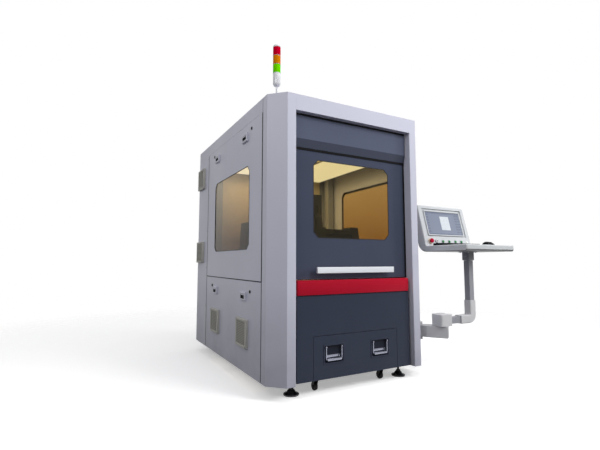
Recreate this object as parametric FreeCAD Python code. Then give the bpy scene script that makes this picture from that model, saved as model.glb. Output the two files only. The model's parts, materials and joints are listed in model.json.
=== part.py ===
import FreeCAD, Part
import math
import os

# Enclosed fiber laser cutting machine: a grey sheet steel cabinet on levelling feet, with a
# lift-up front door, a scrap cart on casters below it, lift-off side panels, a signal tower on
# the roof and an operator console on a two-joint swivel arm. Inside stand a welded bed, a slat
# table and the X, Y and Z axes of the cutting head.
#
# Frame: millimetres, +Z up. The origin is on the floor under the middle of the cabinet.
# -Y is the front, where the operator stands, and +X is the operator's right hand.

Vec = FreeCAD.Vector
os.makedirs("parts", exist_ok=True)

# ---------------------------------------------------------------- driving dimensions
BODY_W = 1306.0            # cabinet width
BODY_D = 1770.0            # cabinet depth
BODY_H = 1850.0            # cabinet height without the feet
FLOOR_GAP = 90.0           # floor to the lower edge of the panels
CHAMFER = 100.0            # front corner chamfer
SHEET = 2.0                # cladding sheet thickness
BEND = 3.0                 # outside bend radius of the cladding
SEAM = 4.0                 # gap between neighbouring panels
PAN = 22.0                 # depth of the panels' folded edges

OPENING_W = 982.0          # front opening between the jambs
OPENING_TOP = 1833.0       # underside of the lintel
JAMB_D = 66.0              # depth of the jambs

DOOR_HALF = 474.0          # half width of the lift door
DOOR_BOTTOM = 735.0
DOOR_TOP = 1650.0
DOOR_SET = 66.0            # door face behind the cabinet face
DOOR_T = 22.0

WINDOW_HALF = 324.0        # front window
WINDOW_LOW = 1009.0
WINDOW_HIGH = 1536.0
WINDOW_CORNER = 37.0
PANE_T = 5.0

SIDE_SPLIT = 719.0         # seam between the lower and the upper side panels
SIDE_TOP = 1842.0          # seam under the roof cover's edge
SIDE_REAR = 553.0          # seam in front of the rear cabinet
SEAM_LEFT = -715.0         # front seam on the left side
SEAM_RIGHT = -645.0        # front seam on the right side, behind the arm's bracket

CART_HALF = 349.0          # half width of the scrap cart's front
CART_TOP = 370.0
CART_BACK = 60.0
PANEL_SET = 30.0           # lower front panel behind the cabinet face

BED_TOP = 900.0            # top of the bed's side beams
GANTRY_Y = -95.0           # middle of the gantry at rest

ARM_AXIS = Vec(703, -713, 0)       # wall swivel
KNEE_AXIS = Vec(812, -858, 0)      # middle swivel
COLUMN_AXIS = Vec(1142, -858, 0)   # console swivel
ARM_LOW = 265.0
ARM_H = 89.0
TUBE = 50.0                # support tube, square
ELBOW = 64.0               # elbow casting, square
TUBE_Z = 390.0             # middle of the horizontal tube

CONSOLE_W = 572.0
TRAY_LOW = 932.0
TRAY_T = 50.0
TRAY_FRONT = -1076.0
FACE_FOOT = -675.0         # lower edge of the console's face
FACE_TILT = 14.0           # degrees back from upright
FACE_LEN = 375.0
HEEL = 84.0                # console thickness behind its face

# ---------------------------------------------------------------- derived places
HALF_W = BODY_W / 2
FRONT = -BODY_D / 2
BACK = BODY_D / 2
BASE = FLOOR_GAP
TOP = FLOOR_GAP + BODY_H
OPENING_HALF = OPENING_W / 2
DOOR_Y = FRONT + DOOR_SET
PANEL_Y = FRONT + PANEL_SET


# ---------------------------------------------------------------- helpers
def save(name, shape):
    """Write one sub-part."""
    shape.exportStep("parts/" + name + ".step")
    print(name, "solids", len(shape.Solids), "valid", shape.isValid())


def span(x, y, z):
    """Block between two values on each axis."""
    low = Vec(min(x), min(y), min(z))
    return Part.makeBox(abs(x[1] - x[0]), abs(y[1] - y[0]), abs(z[1] - z[0]), low)


def rod(centre, axis, radius, length):
    """Round bar from centre along axis."""
    return Part.makeCylinder(radius, length, centre, axis)


def on_xy(u, v, w):
    return Vec(u, v, w)


def on_xz(u, v, w):
    return Vec(u, w, v)


def on_yz(u, v, w):
    return Vec(w, u, v)


def chord_points(start, apex, stop, chords):
    """Evenly spaced points of the arc through three points."""
    circle = Part.Arc(start, apex, stop)
    first, last = circle.FirstParameter, circle.LastParameter
    return [circle.value(first + (last - first) * i / chords) for i in range(chords + 1)]


def outline(points, radii, place, level, chords=0):
    """Closed wire through flat points, each corner rounded by its own radius: an arc, or that
    many chords of it where the piece is small or repeats."""
    count = len(points)
    if not isinstance(radii, (list, tuple)):
        radii = [radii] * count
    flat = [Vec(p[0], p[1], 0) for p in points]
    ends = []
    for i, corner in enumerate(flat):
        if radii[i] <= 0:
            ends.append((corner, None, corner))
            continue
        back = (flat[i - 1] - corner).normalize()
        ahead = (flat[(i + 1) % count] - corner).normalize()
        half = back.getAngle(ahead) / 2
        reach = radii[i] / math.tan(half)
        middle = (back + ahead).normalize()
        apex = corner + middle * (radii[i] / math.sin(half) - radii[i])
        ends.append((corner + back * reach, apex, corner + ahead * reach))
    edges = []
    for i in range(count):
        start, apex, stop = ends[i]
        if apex is not None and chords:
            corners = [place(p.x, p.y, level) for p in chord_points(start, apex, stop, chords)]
            edges += [Part.LineSegment(a, b).toShape() for a, b in zip(corners, corners[1:])]
        elif apex is not None:
            arc = [place(p.x, p.y, level) for p in (start, apex, stop)]
            edges.append(Part.Arc(*arc).toShape())
        following = ends[(i + 1) % count][0]
        if (following - stop).Length > 1e-6:
            a = place(stop.x, stop.y, level)
            b = place(following.x, following.y, level)
            edges.append(Part.LineSegment(a, b).toShape())
    return Part.Wire(edges)


def prism(points, radii, place, low, high, chords=0):
    """Solid with a flat outline, from low to high along the third axis."""
    face = Part.Face(outline(points, radii, place, low, chords))
    return face.extrude(place(0, 0, high) - place(0, 0, low))


def rect(u, v):
    return [(u[0], v[0]), (u[1], v[0]), (u[1], v[1]), (u[0], v[1])]


def folded(points, thick, bend=0.0):
    """Section of a folded sheet: an open line given thickness on its left hand, corners bent."""
    line = [Vec(p[0], p[1], 0) for p in points]
    normals = []
    for a, b in zip(line, line[1:]):
        run = (b - a).normalize()
        normals.append(Vec(-run.y, run.x, 0))
    other = [line[0] + normals[0] * thick]
    radii = [0.0]
    radii_other = [0.0]
    for i in range(1, len(line) - 1):
        before, after = normals[i - 1], normals[i]
        mitre = (before + after).normalize()
        other.append(line[i] + mitre * (thick / mitre.dot(before)))
        left_turn = before.x * after.y - before.y * after.x > 0
        inside = max(bend - thick, 0.0)
        radii.append(bend if left_turn else inside)
        radii_other.append(inside if left_turn else bend)
    other.append(line[-1] + normals[-1] * thick)
    section = [(p.x, p.y) for p in line] + [(p.x, p.y) for p in reversed(other)]
    return section, radii + [0.0] + list(reversed(radii_other + [0.0]))


def polygon(u, v, radius, sides):
    """Corners of a regular polygon about (u, v)."""
    turns = [2 * math.pi * i / sides for i in range(sides)]
    return [(u + radius * math.cos(a), v + radius * math.sin(a)) for a in turns]


def turn_to(axis):
    """Axis and angle that take +Z to the given direction."""
    spin = FreeCAD.Rotation(Vec(0, 0, 1), axis)
    return spin.Axis, math.degrees(spin.Angle)


def faceted(profile, sides, centre, axis=Vec(0, 0, 1)):
    """Round piece drawn with flat sides, for small pieces that repeat: rings of corners at each
    (radius, height) step of its profile, skinned with flat faces."""
    rings = [[Vec(u, v, h) for u, v in polygon(0, 0, r, sides)] for r, h in profile]
    faces = [Part.Face(Part.makePolygon(ring + ring[:1])) for ring in (rings[0], rings[-1])]
    for low, high in zip(rings, rings[1:]):
        for i in range(sides):
            j = (i + 1) % sides
            faces.append(Part.Face(Part.makePolygon([low[i], low[j], high[j], high[i], low[i]])))
    shell = Part.makeShell(faces)
    shell.sewShape()
    body = Part.makeSolid(shell).removeSplitter()
    if body.Volume < 0:
        body.reverse()
    body.rotate(Vec(0, 0, 0), *turn_to(axis))
    body.translate(centre)
    return body


def mirrored(shape):
    """The same piece on the other side of the cabinet."""
    return shape.mirror(Vec(0, 0, 0), Vec(1, 0, 0))


def square_tube(centre_u, centre_v, size, wall, place, low, high):
    """Square tube along the third axis."""
    half = size / 2
    outer = rect((centre_u - half, centre_u + half), (centre_v - half, centre_v + half))
    half = half - wall
    inner = rect((centre_u - half, centre_u + half), (centre_v - half, centre_v + half))
    body = prism(outer, 0, place, low, high)
    return body.cut(prism(inner, 0, place, low, high))


def louvre(mid_u, mid_v, width, height, place, face, out, slots):
    """Raised louvre vent: a shallow hollow box with slots across its face."""
    rise = 15.0
    rim = 5.0
    levels = (face, face + out * rise)
    wires = []
    hollow = []
    for step, level in enumerate(levels):
        inset = rim * step
        u = (mid_u - width / 2 + inset, mid_u + width / 2 - inset)
        v = (mid_v - height / 2 + inset, mid_v + height / 2 - inset)
        wires.append(outline(rect(u, v), 0, place, level))
        u = (u[0] + SHEET, u[1] - SHEET)
        v = (v[0] + SHEET, v[1] - SHEET)
        hollow.append(outline(rect(u, v), 0, place, level - out * SHEET))
    box = Part.makeLoft(wires, True, True)
    box = box.cut(Part.makeLoft(hollow, True, True))
    border = 18.0
    pitch = (height - 2 * border) / slots
    for i in range(slots):
        middle = mid_v - height / 2 + border + pitch * (i + 0.5)
        v = (middle - pitch * 0.24, middle + pitch * 0.24)
        u = (mid_u - width / 2 + border, mid_u + width / 2 - border)
        low, high = sorted((face, face + out * (rise + 2)))
        box = box.cut(prism(rect(u, v), 0, place, low, high))
    return box


VENT_W = 196.0
VENT_HOLE = 80.0           # half the square opening behind a vent
VENT_SLOTS = 5


def vented(panel, mid_u, mid_v, height, place, face, out):
    """The panel with a square opening in its face and a louvre vent over it."""
    hole = rect((mid_u - VENT_HOLE, mid_u + VENT_HOLE), (mid_v - VENT_HOLE, mid_v + VENT_HOLE))
    panel = panel.cut(prism(hole, 0, place, face - 5, face + 5))
    seat = face - 0.5 if out > 0 else face + 0.5
    return panel.fuse(louvre(mid_u, mid_v, VENT_W, height, place, seat, out, VENT_SLOTS))


# ---------------------------------------------------------------- base frame and feet
RAIL_X = 453.0             # middle of the base frame's side rails
RAIL_W = 80.0
RAIL_H = 80.0
RAIL_LOW = 100.0
RAIL_FRONT = -790.0
RAIL_BACK = 850.0


def base_frame():
    """Two long side rails, three cross rails behind the cart and outriggers under the panels, each
    bar butted to the next."""
    rails = []
    for side in (-1, 1):
        x = (side * (RAIL_X - RAIL_W / 2), side * (RAIL_X + RAIL_W / 2))
        rail = span(x, (RAIL_FRONT, RAIL_BACK), (RAIL_LOW, RAIL_LOW + RAIL_H))
        hollow_x = (x[0] + side * 4, x[1] - side * 4)
        hollow_z = (RAIL_LOW + 4, RAIL_LOW + RAIL_H - 4)
        rails.append(rail.cut(span(hollow_x, (RAIL_FRONT, RAIL_BACK), hollow_z)))
        for y in (-650.0, 0.0, 760.0):
            outrigger = (side * (RAIL_X + RAIL_W / 2), side * (HALF_W - 28))
            rails.append(span(outrigger, (y, y + 50), (RAIL_LOW + 10, RAIL_LOW + 60)))
    inner = RAIL_X - RAIL_W / 2
    for y in (110.0, 560.0, RAIL_BACK - 60):
        rails.append(span((-inner, inner), (y, y + 60), (RAIL_LOW, RAIL_LOW + 60)))
    return Part.makeCompound(rails)


FOOT_PLACES = [(-453, -747), (453, -747), (-453, 790), (453, 790)]
FOOT_R = 47.0
LOCK_NUT_R = 18.0


def levelling_foot(x, y):
    """Pad with a conical top, threaded stem and its lock nut under the rail."""
    pad = [(FOOT_R, 0), (FOOT_R, 9), (17, 30), (9, 30), (9, RAIL_LOW)]
    foot = faceted(pad, 12, Vec(x, y, 0))
    return foot.fuse(prism(polygon(x, y, LOCK_NUT_R, 6), 0, on_xy, RAIL_LOW - 14, RAIL_LOW))


save("base_frame", base_frame())
save("levelling_feet", Part.makeCompound([levelling_foot(x, y) for x, y in FOOT_PLACES]))

# ---------------------------------------------------------------- upper frame
POST = 60.0
POST_X = HALF_W - 26 - POST / 2
BEAM_Z = 1728.0
CEILING = 1710.0
EXHAUST_R = 100.0
DUCT_Z = 1560.0            # middle of the exhaust duct


def upper_frame():
    """Square posts on the base frame, tied by beams under the roof, each bar butted to the next."""
    bars = []
    posts_y = (-700.0, 410.0, SIDE_REAR + 30, 840.0)
    for side in (-1, 1):
        for y in posts_y:
            foot = RAIL_LOW + 60.0
            bars.append(square_tube(side * POST_X, y, POST, 3.0, on_xy, foot, BEAM_Z))
        bars.append(square_tube(side * POST_X, BEAM_Z + POST / 2, POST, 3.0, on_xz,
                                posts_y[0] - POST / 2, posts_y[-1] + POST / 2))
    between = (-POST_X + POST / 2, POST_X - POST / 2)
    for y in (posts_y[0], posts_y[2], posts_y[3]):
        bars.append(span(between, (y - 25, y + 25), (BEAM_Z + 5, BEAM_Z + 55)))
    for y in (posts_y[2], posts_y[3]):
        bars.append(span(between, (y - 20, y + 20), (440, 480)))
    return Part.makeCompound(bars)


save("upper_frame", upper_frame())

# ---------------------------------------------------------------- front portal
def portal_post(side, seam):
    """Folded corner post: jamb, front face, chamfer and side face, in plan."""
    line = [(OPENING_HALF, FRONT + JAMB_D),
            (OPENING_HALF, FRONT),
            (HALF_W - CHAMFER, FRONT),
            (HALF_W, FRONT + CHAMFER),
            (HALF_W, seam - SEAM / 2),
            (HALF_W - PAN, seam - SEAM / 2)]
    section, radii = folded(line, SHEET, BEND)
    post = prism(section, radii, on_xy, BASE, TOP - SHEET, 2)
    cap = [(OPENING_HALF, FRONT), (HALF_W - CHAMFER, FRONT), (HALF_W, FRONT + CHAMFER),
           (HALF_W, seam - SEAM / 2), (OPENING_HALF, seam - SEAM / 2)]
    post = post.fuse(prism(cap, 0, on_xy, TOP - SHEET, TOP))
    post = post.fuse(prism(cap, 0, on_xy, BASE, BASE + SHEET))
    return post if side > 0 else mirrored(post)


SLOT_FRONT = FRONT + 50    # roof slot that the lift door rises through
SLOT_BACK = FRONT + 104


def front_portal():
    """Both corner posts with the folded lintel between them, welded into one surround."""
    line = [(FRONT + JAMB_D - 20, OPENING_TOP + 14), (FRONT + JAMB_D - 20, OPENING_TOP),
            (FRONT, OPENING_TOP), (FRONT, TOP), (SLOT_FRONT, TOP), (SLOT_FRONT, TOP - 16)]
    section, radii = folded(list(reversed(line)), SHEET)
    lintel = prism(section, radii, on_yz, -OPENING_HALF - 1, OPENING_HALF + 1)
    left = portal_post(-1, SEAM_LEFT)
    right = portal_post(1, SEAM_RIGHT)
    return lintel.fuse([left, right]).removeSplitter()


save("front_portal", front_portal())

# ---------------------------------------------------------------- roof and ceiling
def roof_cover():
    """Roof tray with deep turned-down edges at the sides and the back."""
    front = SEAM_RIGHT + SEAM / 2
    skirt = span((-HALF_W, HALF_W), (front, BACK), (SIDE_TOP + SEAM / 2, TOP))
    inside = span((-HALF_W + SHEET, HALF_W - SHEET), (front - 5, BACK - SHEET),
                  (SIDE_TOP, TOP - SHEET))
    roof = skirt.cut(inside)
    x = (-OPENING_HALF + 1, OPENING_HALF - 1)
    tongue = span(x, (SLOT_BACK, front), (TOP - SHEET, TOP))
    lip = span(x, (SLOT_BACK, SLOT_BACK + SHEET), (TOP - 20, TOP - SHEET))
    left_strip = span((-HALF_W, x[0]), (SEAM_LEFT + SEAM / 2, front), (TOP - SHEET, TOP))
    left_edge = span((-HALF_W, -HALF_W + SHEET), (SEAM_LEFT + SEAM / 2, front),
                     (SIDE_TOP + SEAM / 2, TOP - SHEET))
    return roof.fuse([tongue, lip, left_strip, left_edge]).removeSplitter()


DUCT_R = 103.0             # inside radius of the duct behind the chamber
DUCT_END = BACK - 25
DUCT_SIDES = 24


def chamber_liner():
    """Ceiling and rear wall of the cutting chamber, folded from one sheet, with two lamp trays,
    and the round duct that carries the fumes from its port to the back."""
    x = POST_X - 34
    line = [(-660, CEILING), (SIDE_REAR - 5, CEILING), (SIDE_REAR - 5, 330)]
    section, radii = folded(line, SHEET)
    liner = prism(section, radii, on_yz, -x, x)
    wall_back = SIDE_REAR - 3
    port = rod(Vec(0, SIDE_REAR - 20, DUCT_Z), Vec(0, 1, 0), EXHAUST_R, 40)
    duct = prism(polygon(0, DUCT_Z, DUCT_R + SHEET, DUCT_SIDES), 0, on_xz, wall_back, DUCT_END)
    duct = duct.cut(prism(polygon(0, DUCT_Z, DUCT_R, DUCT_SIDES), 0, on_xz, wall_back, DUCT_END))
    lamps = [prism(rect((u - 22, u + 22), (-420, 380)), 0, on_xy, CEILING - 14, CEILING)
             for u in (-300.0, 300.0)]
    return Part.makeCompound([liner.cut(port).fuse(lamps), duct])


save("roof_cover", roof_cover())
save("chamber_liner", chamber_liner())

# ---------------------------------------------------------------- header, sill and front panel
HEADER_HALF = 484.0
HEADER_SET = 46.0
HEADER_LOW = 1608.0
HEADER_FOLD = 1664.0
HEADER_HIGH = 1824.0


def header_cover():
    """Folded cover over the top of the lift door, its lower part leaning back to the door."""
    front = FRONT + HEADER_SET
    line = [(front + 14, HEADER_HIGH), (front, HEADER_HIGH), (front, HEADER_FOLD),
            (front + 14, HEADER_LOW)]
    section, radii = folded(line, SHEET, BEND)
    return prism(section, radii, on_yz, -HEADER_HALF, HEADER_HALF, 3)


BAND_HALF = 464.0
BAND_SET = 20.0
BAND_LOW = 635.0
BAND_HIGH = 729.0


def red_band():
    """Sill beam under the door: a hollow folded band with rounded ends."""
    face = rect((-BAND_HALF, BAND_HALF), (BAND_LOW, BAND_HIGH))
    band = prism(face, 14, on_xz, FRONT + BAND_SET, FRONT + BAND_SET + 44, 5)
    inner = rect((-BAND_HALF + SHEET, BAND_HALF - SHEET), (BAND_LOW + SHEET, BAND_HIGH - SHEET))
    hollow = prism(inner, 0, on_xz, FRONT + BAND_SET + SHEET, FRONT + BAND_SET + 50)
    return band.cut(hollow)


PANEL_HALF = 470.0


def lower_front_panel():
    """Dark front below the sill, a pan with the doorway for the scrap cart."""
    pan = span((-PANEL_HALF, PANEL_HALF), (PANEL_Y, PANEL_Y + PAN), (BASE + 6, BAND_LOW - 2))
    inside = span((-PANEL_HALF + SHEET, PANEL_HALF - SHEET), (PANEL_Y + SHEET, PANEL_Y + PAN),
                  (BASE + 6 + SHEET, BAND_LOW - 2 - SHEET))
    gap = CART_HALF + 3
    way = span((-gap, gap), (PANEL_Y - 1, PANEL_Y + PAN + 1), (BASE, CART_TOP + 3))
    jambs = []
    for side in (-1, 1):
        x = (side * gap, side * (gap + SHEET))
        jambs.append(span(x, (PANEL_Y + SHEET, PANEL_Y + PAN), (BASE + 6, CART_TOP + 3)))
    z = (CART_TOP + 3, CART_TOP + 3 + SHEET)
    jambs.append(span((-gap - SHEET, gap + SHEET), (PANEL_Y + SHEET, PANEL_Y + PAN), z))
    for side in (-1, 1):
        x = (side * (PANEL_HALF - SHEET), side * (OPENING_HALF - 3))
        jambs.append(span(x, (PANEL_Y + PAN, PANEL_Y + PAN + SHEET), (BASE + 6, BAND_LOW - 2)))
    return pan.cut([inside, way]).fuse(jambs).removeSplitter()


GUIDE_BACK = DOOR_Y + 34


def door_guides():
    """Upright channels beside the door that its edges run in."""
    guides = []
    for side in (-1, 1):
        line = [(side * (DOOR_HALF + 2), DOOR_Y), (side * (OPENING_HALF - 1), DOOR_Y),
                (side * (OPENING_HALF - 1), GUIDE_BACK), (side * (DOOR_HALF - 14), GUIDE_BACK)]
        if side < 0:
            line.reverse()
        section, radii = folded(line, SHEET)
        guides.append(prism(section, radii, on_xy, BAND_HIGH + 4, TOP - 24))
    return Part.makeCompound(guides)


save("header_cover", header_cover())
save("red_band", red_band())
save("lower_front_panel", lower_front_panel())
save("door_guides", door_guides())

# ---------------------------------------------------------------- lift door
def door_panel():
    """Pan door with a cut-out for the pane, its corners bevelled, and two stiffeners behind."""
    pan = span((-DOOR_HALF, DOOR_HALF), (DOOR_Y, DOOR_Y + DOOR_T), (DOOR_BOTTOM, DOOR_TOP))
    inside = span((-DOOR_HALF + SHEET, DOOR_HALF - SHEET), (DOOR_Y + SHEET, DOOR_Y + DOOR_T),
                  (DOOR_BOTTOM + SHEET, DOOR_TOP - SHEET))
    hole = bevelled((-WINDOW_HALF, WINDOW_HALF), (WINDOW_LOW, WINDOW_HIGH), WINDOW_CORNER)
    cut = prism(hole, 0, on_xz, DOOR_Y - 1, DOOR_Y + DOOR_T)
    stiff = []
    for z in (WINDOW_LOW - 70, WINDOW_HIGH + 50):
        stiff.append(span((-DOOR_HALF + SHEET, DOOR_HALF - SHEET),
                          (DOOR_Y + SHEET, DOOR_Y + 16), (z, z + 24)))
    return pan.cut([inside, cut]).fuse(stiff)


def bevelled(u, v, bevel):
    """Rectangle with bevelled corners."""
    return [(u[0] + bevel, v[0]), (u[1] - bevel, v[0]), (u[1], v[0] + bevel), (u[1], v[1] - bevel),
            (u[1] - bevel, v[1]), (u[0] + bevel, v[1]), (u[0], v[1] - bevel), (u[0], v[0] + bevel)]


def door_window():
    """Amber safety pane behind the cut-out, wider than it by its clamped rim."""
    rim = 18.0
    pane = bevelled((-WINDOW_HALF - rim, WINDOW_HALF + rim), (WINDOW_LOW - rim, WINDOW_HIGH + rim),
                    WINDOW_CORNER)
    return prism(pane, 0, on_xz, DOOR_Y + SHEET, DOOR_Y + SHEET + PANE_T)


HANDLE_HALF = 323.0
HANDLE_LOW = 773.0
HANDLE_HIGH = 814.0
HANDLE_SET = 15.0


def door_handle():
    """Flat grip bar folded to a shallow channel, on three round spacers."""
    front = FRONT + HANDLE_SET
    line = [(front + 16, HANDLE_LOW), (front, HANDLE_LOW), (front, HANDLE_HIGH),
            (front + 16, HANDLE_HIGH)]
    section, radii = folded(list(reversed(line)), 4.0)
    bar = prism(section, radii, on_yz, -HANDLE_HALF, HANDLE_HALF)
    middle = (HANDLE_LOW + HANDLE_HIGH) / 2
    reach = DOOR_SET - HANDLE_SET - 2
    posts = [faceted([(9, 0), (9, reach)], 12, Vec(x, front + 2, middle), Vec(0, 1, 0))
             for x in (-270.0, 0.0, 270.0)]
    return bar.fuse(posts)


save("door_panel", door_panel())
save("door_window", door_window())
save("door_handle", door_handle())

# ---------------------------------------------------------------- side cladding
SIDE_WINDOW_LOW = 937.0
SIDE_WINDOW_HIGH = 1531.0
WINDOW_Y = {-1: (-485.0, 325.0), 1: (-485.0, 230.0)}
PULL_Y = (-406.0, 263.0)
PULL_UPPER = 1748.0
PULL_LOWER = 608.0
VENT_Y = (-390.0, 254.0)
VENT_Z = 356.0
VENT_H = 186.0
REAR_VENT_Y = 770.0
REAR_VENTS = (1652.0, 939.0)
REAR_VENT_H = 190.0


def side_pan(side, y, z):
    """Pan with its face on the cabinet's side and its edges folded inwards."""
    pan = span((HALF_W - PAN, HALF_W), y, z)
    inside = span((HALF_W - PAN - 1, HALF_W - SHEET), (y[0] + SHEET, y[1] - SHEET),
                  (z[0] + SHEET, z[1] - SHEET))
    return pan.cut(inside)


PULL_W = 104.0
PULL_H = 60.0
PULL_STAND = 14.0          # how far a pull stands off its panel
PULL_RIM = (18.0, 13.0)    # rim beside the recess, and over and under it
PULL_BEVEL = 4.0


def pull(y, z):
    """Finger pull: a raised surround with a bevelled edge, round a recess down to the panel."""
    wires = []
    for level, inset in ((-1.0, 0.0), (PULL_STAND - PULL_BEVEL, 0.0), (PULL_STAND, PULL_BEVEL)):
        u, v = PULL_W / 2 - inset, PULL_H / 2 - inset
        wires.append(outline(rect((y - u, y + u), (z - v, z + v)), 0, on_yz, HALF_W + level))
    u, v = PULL_W / 2 - PULL_RIM[0], PULL_H / 2 - PULL_RIM[1]
    recess = prism(rect((y - u, y + u), (z - v, z + v)), 0, on_yz, HALF_W, HALF_W + PULL_STAND + 1)
    return Part.makeLoft(wires, True, True).cut(recess)


def lower_side_panel(side, seam):
    """Lower lift-off panel with two louvre vents and two pulls."""
    y = (seam + SEAM / 2, SIDE_REAR - SEAM / 2)
    pan = side_pan(side, y, (BASE, SIDE_SPLIT - SEAM / 2))
    for middle in VENT_Y:
        pan = vented(pan, middle, VENT_Z, VENT_H, on_yz, HALF_W, 1)
    for middle in PULL_Y:
        pan = pan.fuse(pull(middle, PULL_LOWER))
    return pan if side > 0 else mirrored(pan)


def upper_side_panel(side, seam):
    """Upper lift-off panel with the window's cut-out and two pulls."""
    y = (seam + SEAM / 2, SIDE_REAR - SEAM / 2)
    pan = side_pan(side, y, (SIDE_SPLIT + SEAM / 2, SIDE_TOP - SEAM / 2))
    hole = bevelled(WINDOW_Y[side], (SIDE_WINDOW_LOW, SIDE_WINDOW_HIGH), WINDOW_CORNER)
    pan = pan.cut(prism(hole, 0, on_yz, HALF_W - PAN, HALF_W + 1))
    for middle in PULL_Y:
        pan = pan.fuse(pull(middle, PULL_UPPER))
    return pan if side > 0 else mirrored(pan)


def side_window(side):
    """Amber pane behind the side cut-out."""
    rim = 18.0
    y = WINDOW_Y[side]
    pane = bevelled((y[0] - rim, y[1] + rim), (SIDE_WINDOW_LOW - rim, SIDE_WINDOW_HIGH + rim),
                    WINDOW_CORNER)
    pane = prism(pane, 0, on_yz, HALF_W - SHEET - PANE_T, HALF_W - SHEET)
    return pane if side > 0 else mirrored(pane)


def rear_side_panel(side):
    """Fixed cladding of the rear cabinet with two louvre vents, one over the other."""
    y = (SIDE_REAR + SEAM / 2, BACK)
    pan = span((HALF_W - PAN, HALF_W), y, (BASE, SIDE_TOP - SEAM / 2))
    inside = span((HALF_W - PAN - 1, HALF_W - SHEET), (y[0] + SHEET, y[1] - SHEET),
                  (BASE + SHEET, SIDE_TOP - SEAM / 2 - SHEET))
    pan = pan.cut(inside)
    for z in REAR_VENTS:
        pan = vented(pan, REAR_VENT_Y, z, REAR_VENT_H, on_yz, HALF_W, 1)
    return pan if side > 0 else mirrored(pan)


SIDES = (("left", -1, SEAM_LEFT), ("right", 1, SEAM_RIGHT))
for word, side, seam in SIDES:
    save("lower_side_panel_" + word, lower_side_panel(side, seam))
    save("upper_side_panel_" + word, upper_side_panel(side, seam))
    save("side_window_" + word, side_window(side))
save("rear_side_panels", Part.makeCompound([rear_side_panel(-1), rear_side_panel(1)]))

# ---------------------------------------------------------------- back
BACK_VENTS = (-330.0, 330.0)
SPIGOT_END = BACK + 58.0
FLANGE_W = 24.0            # width of the spigot's flange ring
GLAND_AT = Vec(420, BACK, 240)


def rear_panel():
    """Back pan with two louvre vents, the exhaust spigot screwed on it and the cable gland."""
    x = (-HALF_W + PAN + 1, HALF_W - PAN - 1)
    z = (BASE, SIDE_TOP - SEAM / 2)
    pan = span(x, (BACK - 20, BACK), z)
    inside = span((x[0] + SHEET, x[1] - SHEET), (BACK - 21, BACK - SHEET),
                  (z[0] + SHEET, z[1] - SHEET))
    pan = pan.cut(inside)
    for middle in BACK_VENTS:
        pan = vented(pan, middle, VENT_Z, VENT_H, on_xz, BACK, 1)
    outside = EXHAUST_R + SHEET
    hole = prism(polygon(0, DUCT_Z, outside + 1, DUCT_SIDES), 0, on_xz, BACK - 5, BACK + 5)
    return Part.makeCompound([pan.cut(hole), exhaust_spigot(outside), cable_gland()])


def exhaust_spigot(outside):
    """Short pipe end with a flange, its inner end in the duct."""
    start = DUCT_END - 15
    spigot = prism(polygon(0, DUCT_Z, outside, DUCT_SIDES), 0, on_xz, start, SPIGOT_END)
    flange = prism(polygon(0, DUCT_Z, outside + FLANGE_W, DUCT_SIDES), 0, on_xz, BACK, BACK + 3)
    bore = rod(Vec(0, start, DUCT_Z), Vec(0, 1, 0), EXHAUST_R, SPIGOT_END - start)
    return spigot.fuse(flange).cut(bore)


def cable_gland():
    """Gland of the supply cable, low on the back."""
    return faceted([(24, 0), (24, 8), (16, 14), (16, 20)], 12, GLAND_AT, Vec(0, 1, 0))


save("rear_panel", rear_panel())

# ---------------------------------------------------------------- signal tower
TOWER = Vec(-538, -685, 0)
LAMP_R = 25.0
LAMP_LOW = (2150.0, 2213.0, 2276.0)
LAMP_H = 61.0
LAMP_SIDES = 20


def tower_base():
    """Flange and pole on the roof and the housing under the lamps."""
    low = LAMP_LOW[0]
    profile = [(27, TOP), (27, TOP + 6), (6, TOP + 6), (6, low - 94), (14, low - 94), (LAMP_R, low - 80),
               (LAMP_R, low - 1)]
    return faceted(profile, LAMP_SIDES, TOWER)


def tower_lens(low):
    """One coloured lens ring."""
    return faceted([(LAMP_R, low), (LAMP_R, low + LAMP_H)], LAMP_SIDES, TOWER)


def tower_cap():
    """Cap with a bevelled top."""
    low = LAMP_LOW[2] + LAMP_H + 1
    return faceted([(LAMP_R, low), (LAMP_R, low + 9), (LAMP_R - 8, low + 15)], LAMP_SIDES, TOWER)


save("tower_housing", Part.makeCompound([tower_base(), tower_cap()]))
for name, low in zip(("green", "amber", "red"), LAMP_LOW):
    save("tower_lens_" + name, tower_lens(low))

# ---------------------------------------------------------------- scrap cart
WALL = 3.0
CART_X = 340.0
CART_FLOOR = 104.0
BAIL_X = 193.0
BAIL_HALF = 66.0
DISH = (162.0, 127.0)
DISH_Z = 251.0
BAIL_PIVOT_Z = 296.0
BAIL_DROP = 80.0
CASTER_X = 277.0
CASTER_Y = (-762.0, -60.0)
WHEEL_R = 30.0
WHEEL_W = 22.0
TRAIL = 18.0
AXLE_R = 4.0


def cart_bin():
    """Open bin with sloping side walls on a plate, and the two fixed rear caster forks."""
    front = PANEL_Y + PAN + 2
    low = [(-CART_X + 60, CART_FLOOR), (CART_X - 60, CART_FLOOR)]
    line = [(-CART_X - 4, CART_TOP - 26), (-CART_X + 14, CART_TOP - 26), low[0], low[1],
            (CART_X - 14, CART_TOP - 26), (CART_X + 4, CART_TOP - 26)]
    section, radii = folded(line, WALL)
    trough = prism(section, radii, on_xz, front, CART_BACK)
    end = [(-CART_X + 14, CART_TOP - 26), low[0], low[1], (CART_X - 14, CART_TOP - 26)]
    for y in (front, CART_BACK - WALL):
        trough = trough.fuse(prism(end, 0, on_xz, y, y + WALL))
    plate = span((-CASTER_X - 34, CASTER_X + 34), (front + 8, CART_BACK - 20),
                 (CART_FLOOR - 8, CART_FLOOR))
    trough = trough.fuse(plate)
    for side in (-1, 1):
        trough = trough.fuse(caster_fork(side * CASTER_X, CASTER_Y[1], CART_FLOOR - 8))
    return trough


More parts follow.
